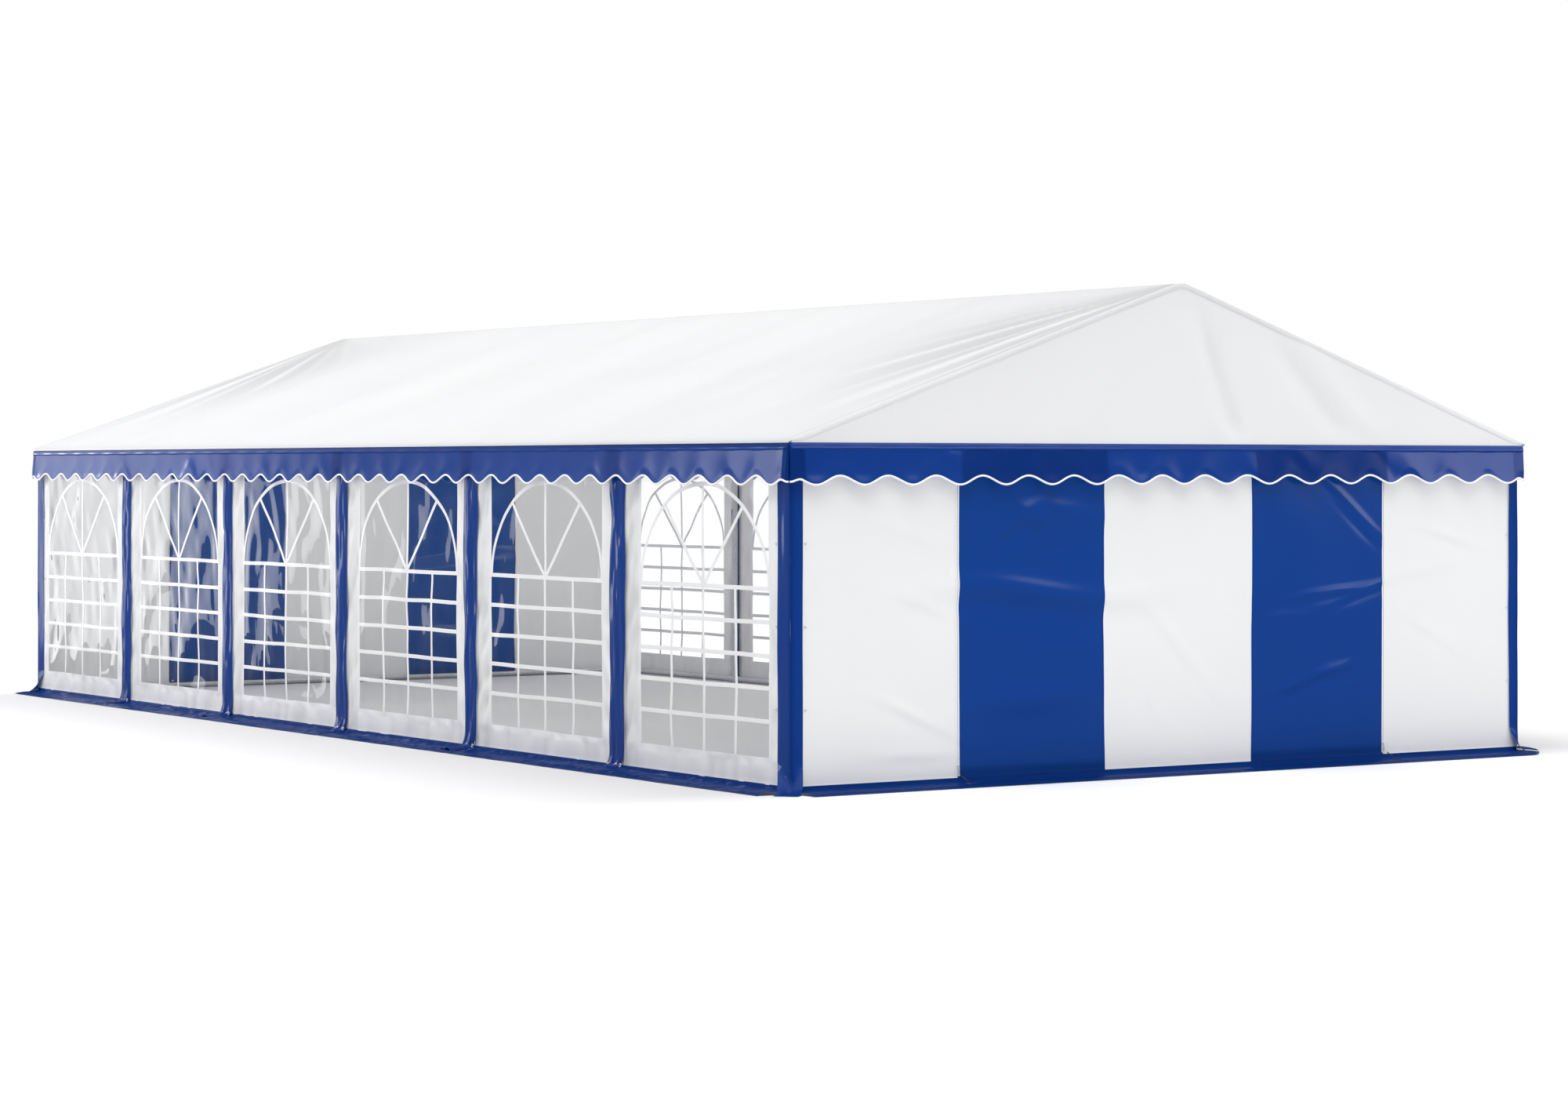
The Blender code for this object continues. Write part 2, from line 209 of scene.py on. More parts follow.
def addLights():
    aim = Vector(studio["keyFrom"]).to_track_quat("Z", "Y").to_euler()
    bpy.ops.object.light_add(type="SUN", location=(0, 0, 12), rotation=aim)
    key = bpy.context.object
    key.name = "overhead_key"
    key.data.energy = studio["keyStrength"]
    key.data.angle = math.radians(studio["keySpread"])
    key.visible_glossy = False
    for name, place, facing, size, brightness in studio["panels"] + studio["fills"]:
        turn = Vector(facing).to_track_quat("-Z", "Y").to_euler()
        bpy.ops.object.light_add(type="AREA", location=place, rotation=turn)
        panel = bpy.context.object
        panel.name = name
        panel.data.shape = "RECTANGLE"
        panel.data.size, panel.data.size_y = size
        panel.data.energy = 4 * size[0] * size[1] * brightness
        panel.visible_camera = False
        panel.visible_glossy = name.endswith("box") or name.endswith("strip")
        panel.visible_diffuse = "gleam" not in name


lightTheWorld()
addLights()
print("camera and lights are set")


# Materials

pvc = {
    "white": {
        "colour": (0.888, 0.890, 0.898, 1),
        "shade": (0.845, 0.85, 0.865, 1),
        "glow": (0.93, 0.93, 0.92, 1),  # light that comes through the cloth
        "glowShare": 0.18,
        "rough": 0.42,
        "specular": 0.15,
        "coat": 0.30,
        "coatRough": 0.26,
        "crinkle": 0.00030,
    },
    "blue": {
        "colour": (0.0045, 0.041, 0.260, 1),
        "shade": (0.0042, 0.036, 0.232, 1),
        "glow": (0.006, 0.16, 0.50, 1),
        "glowShare": 0.14,
        "rough": 0.40,
        "specular": 0.03,
        "coat": 0.66,
        "coatRough": 0.14,
        "crinkle": 0.00022,
    },
    "glossyBlue": {
        "colour": (0.0045, 0.041, 0.246, 1),
        "shade": (0.0042, 0.037, 0.228, 1),
        "glow": (0.006, 0.16, 0.50, 1),
        "glowShare": 0.10,
        "rough": 0.34,
        "specular": 0.015,
        "coat": 0.75,
        "coatRough": 0.08,
        "crinkle": 0.00020,
    },
    "bar": {
        "colour": (0.93, 0.93, 0.94, 1),
        "shade": (0.90, 0.90, 0.91, 1),
        "glow": (0.93, 0.93, 0.92, 1),
        "glowShare": 0.10,
        "rough": 0.35,
        "specular": 0.3,
        "coat": 1.0,
        "coatRough": 0.12,
        "crinkle": 0.00015,
    },
}


scrim = {"warp": 190.0, "weft": 150.0, "height": 0.00002, "crinkles": 12.0}  # threads and creases a metre


def coatedCloth(name, look):  # PVC coated scrim: fine weave under a smooth coat
    g = Graph(bpy.data.materials.new(name))
    here = g.place()
    broad = g.noise(here, 0.9, 2.0)
    soil = g.step(g.axis(here, "Z"), 0.30, 0.02) * g.noise(here, 7.0, 4.0)  # splashes near the ground
    patch = (g.step(broad, 0.35, 0.75) * 0.35 + soil * 0.25).limit(0, 1)
    paintedShade = g.add("ShaderNodeAttribute", {"attribute_name": "paintedShade"}, None, "Fac")  # painted shade: darker and less glossy where a piece asks for it
    colour = g.blend(patch, look["colour"], look["shade"])
    colour = g.blend(paintedShade * 0.25, colour, (0, 0, 0, 1))
    warp = g.threads(here, scrim["warp"], "Z")
    weft = g.threads(g.place((1, 1, 0)), scrim["weft"], "DIAGONAL")
    weave = g.bump(warp * weft, scrim["height"], 0.5)
    normal = g.bump(g.noise(here, scrim["crinkles"], 1.0, 0.6), look["crinkle"], 1.0, weave)
    sheet = g.principled({
        "Base Color": colour,
        "Roughness": look["rough"] + (g.noise(here, 22.0, 3.0) - 0.5) * 0.12 + soil * 0.1,
        "Normal": normal,
        "Specular IOR Level": look["specular"],
        "Coat Weight": (look["coat"] * (1 - paintedShade * 0.75)).limit(0, 1),
        "Coat Roughness": look["coatRough"],
    })
    through = g.add("ShaderNodeBsdfTranslucent", None, {"Color": look["glow"], "Normal": normal})
    return g.finish(g.add("ShaderNodeMixShader", None, {0: look["glowShare"], 1: sheet, 2: through}))


film = {
    "tint": (0.996, 0.998, 0.998, 1),
    "rough": 0.012,
    "faceOn": 0.012,  # share mirrored by both faces, seen square on
    "slantGain": 8.0,
    "slantPower": 8.0,
    "most": 0.50,
    "haze": 0.007,
    "ripple": 0.0005,
}


def clearFilm():  # soft clear sheet: it mirrors at a slant and hazes a little
    g = Graph(bpy.data.materials.new("clear_film"))
    here = g.place()
    streak = g.noise(g.place((3.2, 3.2, 0.8)), 2.4, 1.0, 0.8)
    normal = g.bump(streak, film["ripple"], 1.0, g.bump(g.noise(here, 30.0, 2.0), 0.00003, 1.0))
    slant = g.add("ShaderNodeLayerWeight", None, {"Blend": 0.5, "Normal": normal}, "Facing")
    mirrored = film["faceOn"] + film["slantGain"] * slant ** film["slantPower"]
    clear = g.add("ShaderNodeBsdfTransparent", None, {"Color": film["tint"]})
    mirror = {"Color": (1, 1, 1, 1), "Roughness": film["rough"], "Normal": normal}
    shine = g.add("ShaderNodeBsdfAnisotropic", None, mirror)
    sheet = g.add("ShaderNodeMixShader", None, {0: mirrored.limit(0, film["most"]), 1: clear, 2: shine})
    dust = g.add("ShaderNodeBsdfDiffuse", None, {"Color": (0.9, 0.91, 0.92, 1)})
    haze = g.step(g.noise(here, 5.0, 4.0, 0.5), 0.45, 0.8) * film["haze"] + 0.003
    return g.finish(g.add("ShaderNodeMixShader", None, {0: haze, 1: sheet, 2: dust}))


steel = {
    "bright": (0.84, 0.85, 0.87, 1),
    "dull": (0.64, 0.66, 0.68, 1),
    "rust": (0.30, 0.22, 0.16, 1),
    "metal": 0.5,
}


def galvanisedSteel():  # zinc spangle, duller patches, a little rust in small scattered spots
    g = Graph(bpy.data.materials.new("galvanised_steel"))
    here = g.place()
    spangle = g.add("ShaderNodeTexVoronoi", {"feature": "F1"}, {"Vector": here, "Scale": 85.0}, "Color")
    grain = g.axis(spangle, "X")
    patches = g.noise(here, 6.0, 4.0, 0.5)
    dulled = (grain * 0.55 + g.step(patches, 0.4, 0.7) * 0.45).limit(0, 1)
    zinc = g.blend(dulled, steel["bright"], steel["dull"])
    worn = g.step(g.noise(here, 18.0, 5.0, 0.8), 0.68, 0.78) * 0.35
    colour = g.blend(worn, zinc, steel["rust"])
    rough = 0.30 + grain * 0.14 + patches * 0.16
    normal = g.bump(grain * 0.5 + g.noise(here, 160.0, 2.0), 0.0001, 0.6)
    sockets = {"Base Color": colour, "Metallic": steel["metal"], "Roughness": rough, "Normal": normal}
    return g.finish(g.principled(sockets))


def plainPlastic(name, colour, rough):  # moulded parts, cords and zip tapes
    g = Graph(bpy.data.materials.new(name))
    here = g.place()
    speck = g.noise(here, 220.0, 3.0)
    faded = (0.96, 0.96, 0.96, 1)
    tone = g.blend(g.step(g.noise(here, 9.0, 3.0), 0.45, 0.9) * 0.10, colour, faded)
    grain = g.bump(speck, 0.0002, 0.6)
    sockets = {"Base Color": tone, "Roughness": rough + (speck - 0.5) * 0.15, "Normal": grain}
    return g.finish(g.principled(sockets))


pale = {
    "size": 900,
    "tones": ((0.84, 0.84, 0.845, 1), (0.81, 0.81, 0.82, 1)),
    "glow": 0.04,
    "shade": (0.618, 0.616, 0.622, 1),  # painted soft shadow along the window walls
    "shadeFrom": 3.10,  # from the middle of the tent
    "shadeTo": 6.4,
    "shadeEnds": (6.6, 5.6),
}


def paleFloor():
    g = Graph(bpy.data.materials.new("pale_floor"))
    here = g.place()
    tone = g.blend(g.noise(here, 3.0, 3.0) * 0.3, *pale["tones"])
    wide, long = g.axis(here, "X").size(), g.axis(here, "Y").size()
    # painted shadow on the floor beside the window walls, fading outwards
    outside = g.step(wide, pale["shadeFrom"] - 0.15, pale["shadeFrom"])
    beside = g.step(wide, pale["shadeTo"], pale["shadeFrom"]) ** 1.6
    shade = outside * beside * g.step(long, *pale["shadeEnds"])
    return g.finish(g.principled({
        "Base Color": g.blend(shade, tone, pale["shade"]),
        "Roughness": 0.9,
        "Specular IOR Level": 0.0,
        "Emission Color": (1, 1, 1, 1),
        "Emission Strength": pale["glow"],
    }))


finishes = {  # the material, and its slot in the record
    "white": (coatedCloth("white_pvc", pvc["white"]), "white_pvc"),
    "blue": (coatedCloth("blue_pvc", pvc["blue"]), "blue_pvc"),
    "glossyBlue": (coatedCloth("blue_pvc_gloss", pvc["glossyBlue"]), "blue_pvc"),
    "bar": (coatedCloth("white_pvc_bar", pvc["bar"]), "white_pvc"),
    "piping": (plainPlastic("white_piping", (0.95, 0.95, 0.95, 1), 0.35), "white_pvc"),
    "film": (clearFilm(), "clear_film"),
    "steel": (galvanisedSteel(), "galvanised_steel"),
    "black": (plainPlastic("black_plastic", (0.025, 0.026, 0.028, 1), 0.45), "galvanised_steel"),
    "teeth": (plainPlastic("zip_teeth", (0.16, 0.165, 0.175, 1), 0.45), "white_pvc"),
    "zipTape": (plainPlastic("zip_tape", (0.86, 0.86, 0.87, 1), 0.5), "white_pvc"),
}
print("materials are made")


# Making sheets

def noCurrent():
    if bpy.context.object and bpy.context.object.mode != "OBJECT":
        bpy.ops.object.mode_set(mode="OBJECT")
    bpy.ops.object.select_all(action="DESELECT")


def softNoise(s, t, seed):  # smooth chance heights from -1 to 1, about one unit apart
    table = np.random.default_rng(seed).uniform(-1, 1, (64, 64))
    s, t = np.broadcast_arrays(np.asarray(s, float), np.asarray(t, float))
    i, j = np.floor(s).astype(int), np.floor(t).astype(int)
    a, b = s - i, t - j
    a, b = a * a * (3 - 2 * a), b * b * (3 - 2 * b)
    low = table[i % 64, j % 64] * (1 - a) + table[(i + 1) % 64, j % 64] * a
    high = table[i % 64, (j + 1) % 64] * (1 - a) + table[(i + 1) % 64, (j + 1) % 64] * a
    return low * (1 - b) + high * b


def ease(value, low, high):  # 0 at low, 1 at high, smooth between
    t = np.clip((np.asarray(value, float) - low) / (high - low), 0, 1)
    return t * t * (3 - 2 * t)


def waves(kind, x, y, seed, shift=0.0):  # kind: height, and about how long across and up
    height, wide, tall = kind
    return height * softNoise(x / wide + shift, y / tall, seed)


def swell(distance, width):  # 1 at nothing, falling off on both sides
    return np.exp(-((distance / width) ** 2))


def lines(*stretches):  # places of grid lines: (from, to, about how far apart)
    places = []
    for low, high, gap in stretches:
        count = max(1, round(abs(high - low) / gap))
        places.extend(np.linspace(low, high, count, endpoint=False))
    return np.array([*places, stretches[-1][1]])


def dressed(piece, finish):  # one of the tent's visible pieces, in its material
    material, slot = finishes[finish]
    piece.data.materials.clear()
    piece.data.materials.append(material)
    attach(piece, "root")
    return piece


def gridPiece(name, across, up, place, finish, flip=False, leaveOut=None, paintedShade=None):
    noCurrent()
    columns, rows = len(across) - 1, len(up) - 1
    bpy.ops.mesh.primitive_grid_add(x_subdivisions=columns, y_subdivisions=rows, size=2)
    piece = bpy.context.object
    piece.name = piece.data.name = name
    mesh = piece.data
    flat = np.empty(len(mesh.vertices) * 3)
    mesh.vertices.foreach_get("co", flat)
    flat = flat.reshape(-1, 3)
    s = across[np.rint((flat[:, 0] + 1) / 2 * columns).astype(int)]
    t = up[np.rint((flat[:, 1] + 1) / 2 * rows).astype(int)]
    mesh.vertices.foreach_set("co", place(s, t).ravel())
    # the last argument gives each point its painted shade: darker, less glossy cloth
    if paintedShade is not None:
        mesh.attributes.new("paintedShade", "FLOAT", "POINT").data.foreach_set("value", paintedShade(s, t))
    if leaveOut is not None:
        gone = leaveOut(s, t)
        bm = bmesh.new()
        bm.from_mesh(mesh)
        bm.verts.ensure_lookup_table()
        faces = [f for f in bm.faces if all(gone[v.index] for v in f.verts)]
        bmesh.ops.delete(bm, geom=faces, context="FACES")
        bm.to_mesh(mesh)
        bm.free()
    if flip:
        mesh.flip_normals()
    mesh.update()
    bpy.ops.object.shade_smooth()
    return dressed(piece, finish)


def onWall(wall, s, out, z):
    if wall in longWalls:
        side = -1 if wall == "left" else 1
        return np.stack([side * (tent["halfWidth"] + out), s, z], 1)
    side = -1 if wall == "front" else 1
    return np.stack([s, side * (tent["halfLength"] + out), z], 1)


def turnedIn(wall):  # walls whose grids would face inwards
    return wall in ("left", "back")


foot = {
    "radius": 0.055,  # the cloth sweeps outwards over the ground
    "ground": 0.004,
    "seam": 0.041,  # where the blue skirt is welded on
    "end": -0.203,
}


def hung(wall, s, q, lift):  # a sheet that hangs down a wall, then lies on the ground
    s, q = np.broadcast_arrays(np.asarray(s, float), np.asarray(q, float))
    radius, ground = foot["radius"], foot["ground"]
    past = np.maximum(radius + ground - q, 0)
    turn = np.minimum(past / radius, math.pi / 2)
    out = radius * (1 - np.cos(turn)) + np.maximum(past - radius * math.pi / 2, 0)
    z = np.where(past > 0, ground + radius * (1 - np.sin(turn)), q)
    return onWall(wall, s, out + lift * np.cos(turn), z + lift * np.sin(turn))


# Window walls

window = {
    "half": 0.752,
    "sill": 0.203,
    "head": 1.96,
    "barWidth": 0.027,
    "rails": (0.42, 0.62, 0.82, 1.02, 1.225),
    "stiles": (-0.376, 0.0, 0.376),
    "springing": 1.225,  # where the arch starts
    "archRise": 0.635,
    "raySpread": (0.464, 1.73),
    "railBow": 0.003,  # how far the welded bars wander
    "stileBow": 0.009,
    "archBow": 0.004,
    "rayBow": 0.005,
}
margin = {
    "edge": 0.987,  # the panels stop short of each other, behind the flap
    "lap": 0.012,  # of the film behind the panel's edge, all round
    "set": -0.004,  # from the wall's outer face
    "bulge": (0.005, 1 / 1.3, 1 / 1.1),
    "fold": (0.0105, 0.075, 0.19),
    "fineFold": (0.0045, 0.033, 0.11),
    "footFold": (0.0075, 0.075, 0.30),
    "frontFilm": ((0.0062, 0.22, 0.40), (0.0014, 0.10, 0.19)),  # ripples, broad and fine
    "backFilm": ((0.0078, 0.22, 0.40), (0.0030, 0.10, 0.19)),
    "cutAside": 0.0045,  # how far the opening's edge wanders
    "cutUp": 0.0030,
    "shade": 0.45,
}
flap = {
    "near": 0.050,  # from the joint towards the front
    "far": 0.130,
    "stand": 0.010,
    "lift": 0.0045,
    "shade": 0.028,
    "fold": (0.0075, 1 / 3.6, 0.34),
    "fineFold": (0.0030, 1 / 8.5, 0.14),
    "wander": 0.010,
    "breadth": 0.030,
    "sweep": 0.048,  # the foot turns towards the back, into the skirt
    "foot": foot["end"] + 0.055,
    "zip": 0.007,
}
cover = {  # of the corners
    "long": 0.140,
    "gable": 0.085,
    "round": 0.016,
    "stand": 0.004,
    "open": 0.70,
    "tongue": 0.100,
    "curl": 0.085,
    "sway": (0.0022, 0.05, 0.45),
    "fineSway": (0.0010, 0.02, 0.2),
    "crease": 0.006,
}


def insideWindow(local, q):  # distance in from the window's edge, negative outside it
    side = window["half"] - np.abs(local)
    return np.minimum(side, np.minimum(q - window["sill"], window["head"] - q))


def puckers(local, q, seed):  # slanted folds of the margins round a window
    side = np.sign(local)
    fold = waves(margin["fold"], local * side + 0.45 * q, q - 0.9 * side * local, seed + 1)
    fold = fold + waves(margin["fineFold"], local + 0.2 * q, q, seed + 2)
    below = ease(window["sill"] - q, 0.0, 0.06)
    return fold * (1 - 0.7 * below) + below * waves(margin["footFold"], local, q, seed + 6, 0.8 * q)


def panelDepth(local, q, bay, seed):  # how far panel and film stand out, from the wall's outer face
    local, q = np.broadcast_arrays(np.asarray(local, float), np.asarray(q, float))
    held = ease(1.0 - np.abs(local), 0, 0.25) * ease(tent["wallTop"] - q, 0, 0.3)
    depth = margin["set"] + held * waves(margin["bulge"], local, q, seed, seed)
    inner = insideWindow(local, q)
    outermost = ((bay == 0) & (local < 0)) | ((bay == tent["bays"] - 1) & (local > 0))
    pressed = np.where(outermost, cover["long"] - 0.015, 0.02)  # held flat under flap or corner cover
    loose = ease(-inner, 0.0, 0.05) * ease(1.0 - np.abs(local) - pressed, 0.0, 0.07)
    depth = depth + puckers(local, q, seed) * loose
    sway = 0.7 * softNoise(q / 0.5, seed * 0.37, seed + 5)
    broad, fine = margin["frontFilm" if bay < tent["bays"] / 2 else "backFilm"]
    ripple = waves(broad, local + 0.30 * q, q, seed + 3, sway)
    ripple = ripple + waves(fine, local - 0.20 * q, q, seed + 4, sway)
    return depth + ripple * ease(inner, 0.0, 0.10)


def windowPanel(wall, bay):
    centre = -tent["halfLength"] + tent["bay"] * (bay + 0.5)
    seed = 100 + 10 * bay + (60 if wall == "right" else 0)
    half, sill, head = window["half"], window["sill"], window["head"]
    edge, lap = margin["edge"], margin["lap"]
    across = lines((-edge, -half, 0.0145), (-half, half, 0.026), (half, edge, 0.0145))
    up = lines((foot["seam"], sill, 0.015), (sill, head, 0.026), (head, tent["wallTop"], 0.023))

    def place(s, q):
        rim = ease(np.abs(insideWindow(s, q)), 0.06, 0.0)
        shifted = s + rim * margin["cutAside"] * softNoise(q / 0.17, seed, seed + 8)
        raised = q + rim * margin["cutUp"] * softNoise(s / 0.21, seed, seed + 9)
        return hung(wall, centre + shifted, raised, panelDepth(s, q, bay, seed))

    def shaded(s, q):  # painted shade beside the flap of the next joint, and in the folds
        joint = 1 - flap["near"]
        beside = margin["shade"] * ease(s, half, half + 0.06) + 0.5 * ease(s, joint - flap["shade"], joint)
        valley = np.clip(-puckers(s, q, seed) / 0.009, 0, 1) * ease(-insideWindow(s, q), 0.0, 0.03)
        return beside * (bay < tent["bays"] - 1) + 0.5 * valley

    def cutOut(s, q):
        return insideWindow(s, q) > -1e-6

    name = f"{wall}_window_margin_{bay + 1}"
    panel = gridPiece(name, across, up, place, "white", turnedIn(wall), cutOut, shaded)

    def placeFilm(s, q):  # just behind the panel
        return hung(wall, centre + s, q, panelDepth(s, q, bay, seed) - 0.0012)

    filmAcross = lines((-half - lap, half + lap, 0.024))
    filmUp = lines((sill - lap, head + lap, 0.026))
    pane = gridPiece(f"{wall}_window_pane_{bay + 1}", filmAcross, filmUp, placeFilm, "film", turnedIn(wall))
    bars = windowBars(wall, bay, centre, seed)
    skirtPiece(wall, bay, centre, seed)
    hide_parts(f"{wall}_window_panel_{bay + 1}")
    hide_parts(f"{wall}_window_film_{bay + 1}")


def stripMesh(name, runs, width, depthAt, wall, centre, finish):  # flat bars that follow the film
    bm = bmesh.new()
    for run in runs:
        run = np.array(run, float)
        along = np.gradient(run, axis=0)
        along /= np.linalg.norm(along, axis=1)[:, None]
        normal = np.stack([-along[:, 1], along[:, 0]], 1)
        rows = []
        for share in (-0.5, 0.0, 0.5):
            points = run + normal * width * share
            lift = depthAt(points[:, 0], points[:, 1]) + (0.0010 if share == 0 else 0.0006)
            spots = onWall(wall, centre + points[:, 0], lift, points[:, 1])
            rows.append([bm.verts.new(spot) for spot in spots])
        for low, high in zip(rows, rows[1:]):
            for a, b, c, d in zip(low, low[1:], high[1:], high):
                bm.faces.new((a, b, c, d))
    bmesh.ops.recalc_face_normals(bm, faces=bm.faces)
    mesh = bpy.data.meshes.new(name)
    bm.to_mesh(mesh)
    bm.free()
    mesh.polygons.foreach_set("use_smooth", [True] * len(mesh.polygons))
    piece = bpy.data.objects.new(name, mesh)
    scene.collection.objects.link(piece)
    return dressed(piece, finish)


def windowBars(wall, bay, centre, seed):
    half, sill, spring, rise = window["half"], window["sill"], window["springing"], window["archRise"]
    runs = []
    for number, z in enumerate(window["rails"]):
        s = np.linspace(-half - 0.004, half + 0.004, 64)
        runs.append(np.stack([s, z + window["railBow"] * softNoise(s / 0.35, number, seed + 11)], 1))
    for number, s in enumerate(window["stiles"]):
        z = np.linspace(sill - 0.004, spring, 44)
        runs.append(np.stack([s + window["stileBow"] * softNoise(z / 0.20, number, seed + 12), z], 1))
    turn = np.linspace(0, math.pi, 60)
    arch = np.stack([half * np.cos(turn), spring + rise * np.sin(turn)], 1)
    wander = [softNoise(turn * 2.2, way, seed + 13) for way in (1, 2)]
    runs.append(arch + window["archBow"] * np.stack(wander, 1))
    z = np.linspace(spring, spring + rise, 26)
    runs.append(np.stack([window["rayBow"] * softNoise(z / 0.22, 5, seed + 14), z], 1))
    spread, top = window["raySpread"]
    for side in (-1, 1):
        t = np.linspace(0, 1, 28)
        bow = window["rayBow"] * softNoise(t * 3.1, side + 3, seed + 15)
        runs.append(np.stack([side * spread * t + bow, spring + (top - spring) * t], 1))

    def depthAt(s, q):
        return panelDepth(s, q, bay, seed)

    return stripMesh(f"{wall}_window_bars_{bay + 1}", runs, window["barWidth"], depthAt, wall, centre, "bar")


skirts = {
    "outer": foot["end"],
    "top": 0.045,  # just over the seam
    "lift": 0.0008,
    "roll": 0.020,  # how high it arches between seam and edge
    "crumple": (0.0060, 0.055, 0.07),
    "fineCrumple": (0.0020, 0.024, 0.05),
    "edgeSway": 0.006,
    # where the painted gleams run, and the strength of the painted shade that darkens the skirts and takes
    # their gloss
    "gleam": (-0.06, 0.02),
    "paintedShadeAndMatt": 1.7,
    "gableRoll": 0.012,
    "gableWave": (0.0022, 0.4, 0.1),
    "gableFineWave": (0.0010, 0.1, 0.07),
}


def skirtPiece(wall, bay, centre, seed):
    low, high = centre - 0.998, centre + 0.998
    if bay == 0:
        low = -tent["halfLength"] + 0.02
    if bay == tent["bays"] - 1:
        high = tent["halfLength"] - 0.02
    across = lines((low, high, 0.0135))
    up = lines((skirts["outer"], skirts["top"], 0.0125))

    def place(s, q):
        lying = ease(foot["seam"] - q, 0.01, 0.05) * ease(q - skirts["outer"], 0.0, 0.05)
        roll = skirts["roll"] * lying * (0.8 + 0.4 * softNoise(s / 0.6, 3, seed + 21))
        twist = 1.6 * softNoise(q / 0.08, s / 0.3, seed + 22)
        fold = waves(skirts["crumple"], s, q, seed + 20, twist)
        fold = fold + waves(skirts["fineCrumple"], s, q, seed + 23)
        ragged = softNoise(s / 0.16, 1, seed + 24) * ease(skirts["outer"] + 0.05 - q, 0, 0.05)
        lift = skirts["lift"] + roll + 0.8 * fold * lying
        return hung(wall, s, q - skirts["edgeSway"] * ragged, np.maximum(lift, 0.0004))

    def paintedShadeAndMatt(s, q):  # painted shade: darker and less glossy, but for short painted gleams along its top
        start, stop = skirts["gleam"]
        along = ease(q, start - 0.02, start) * ease(q, stop + 0.02, stop)
        gleam = ease(softNoise(s / 0.040, q / 0.05 + s / 0.5, seed + 25), 0.20, 0.55) * along
        return skirts["paintedShadeAndMatt"] - 1.2 * gleam

    name = f"{wall}_skirt_{bay + 1}"
    skirt = gridPiece(name, across, up, place, "glossyBlue", turnedIn(wall), paintedShade=paintedShadeAndMatt)


def jointFlap(wall, post):  # blue flap over the joint of two panels, swept out at its foot
    seed = 300 + post * 7 + (50 if wall == "right" else 0)
    line = -tent["halfLength"] + tent["bay"] * post
    width = flap["near"] + flap["far"]
    across = lines((-flap["near"], flap["far"], 0.0075))
    up = lines((flap["foot"], 0.16, 0.011), (0.16, tent["wallTop"], 0.022))

    def place(s, q):
        t = (s + flap["near"]) / width
        crown = np.sin(np.pi * np.clip(t, 0, 1)) ** 0.7
        sway = 0.5 * softNoise(q / 0.6, 2, seed + 1)
        folds = waves(flap["fold"], t, q, seed, sway) + waves(flap["fineFold"], t, q, seed + 2, sway)
        low = ease(q, 0.15, -0.01)
        lift = flap["lift"] + flap["stand"] * crown * (1 + 0.5 * low) + folds * (0.35 + 0.65 * crown)
        edge = flap["wander"] * softNoise(q / 0.23, 5, seed + 4)
        edge = edge + flap["breadth"] * (t - 0.45) * softNoise(q / 0.27, 4, seed + 3)
        narrow = 1 + 0.10 * low - 0.15 * ease(q, 0.02, -0.10)
        along = line + s * narrow + edge + flap["sweep"] * low * low
        return hung(wall, along, q, np.maximum(lift, 0.002) + 0.004 * low)

    def paintedShadeAndMatt(s, q):
        # painted shade: darker and less glossy at the foot, glossier above
        return 1.6 * ease(q, 0.10, 0.0) - 0.4

    def zipDepth(s, z):
        return 0.003 + 0 * z

    name = f"{wall}_joint_flap_{post}"
    piece = gridPiece(name, across, up, place, "glossyBlue", turnedIn(wall), paintedShade=paintedShadeAndMatt)
    z = np.linspace(0.045, 1.0, 50)
    middle = line - flap["near"] - 0.006
    run = np.stack([0 * z, z], 1)
    stripMesh(f"{wall}_joint_zip_{post}", [run], flap["zip"], zipDepth, wall, middle, "steel")


for wallName in longWalls:
    for bayNumber in range(tent["bays"]):
        windowPanel(wallName, bayNumber)
    for postNumber in range(1, tent["bays"]):
        jointFlap(wallName, postNumber)
print("window walls are hung")


# Gable walls

gable = {
    "sideStripe": 1.232,
    "middleHalf": 0.612,
    "lap": 0.006,
    "hem": 0.0008,  # how far a blue stripe lies on the white ones
    "set": -0.004,
    "bulge": (0.007, 1.25, 1.25),
    "ripple": (0.0025, 0.35, 0.5),
    "edgeSway": (0.007, 0.42, 0.9),
    "creases": (  # middle across and up, slant in degrees, length, height, width
        (-2.16, 1.57, -9, 0.80, 0.004, 0.040),
        (-2.05, 1.13, -12, 0.70, 0.005, 0.036),
        (-2.10, 0.45, -15, 0.75, 0.006, 0.036),
        (-2.10, 0.20, 8, 0.60, 0.004, 0.036),
        (-1.12, 1.18, 0, 1.60, 0.022, 0.080),
        (-1.10, 1.62, -14, 0.70, 0.010, 0.060),
        (-1.35, 1.60, 40, 0.50, 0.008, 0.050),
        (-0.95, 1.68, 2, 0.70, 0.018, 0.085),
        (-1.20, 0.50, 12, 0.80, 0.014, 0.080),
        (0.02, 0.80, -38, 1.10, 0.006, 0.050),
        (-0.24, 0.49, -47, 0.55, 0.004, 0.045),
        (0.30, 1.20, -62, 0.80, 0.004, 0.050),
        (1.50, 1.68, -30, 0.62, 0.008, 0.022),
        (1.56, 1.58, -30, 0.50, 0.007, 0.020),
        (1.30, 1.14, 13, 0.95, 0.008, 0.024),
        (1.50, 1.12, 24, 0.45, 0.008, 0.022),
        (0.95, 0.98, 8, 0.60, 0.004, 0.030),
        (1.28, 0.62, 20, 0.50, 0.010, 0.034),
        (0.95, 0.52, 24, 0.35, 0.008, 0.030),
        (2.34, 1.50, -7, 0.62, 0.005, 0.032),
        (2.19, 0.85, -19, 0.85, 0.0035, 0.034),
        (2.08, 1.27, 13, 0.60, 0.003, 0.040),
    ),
}


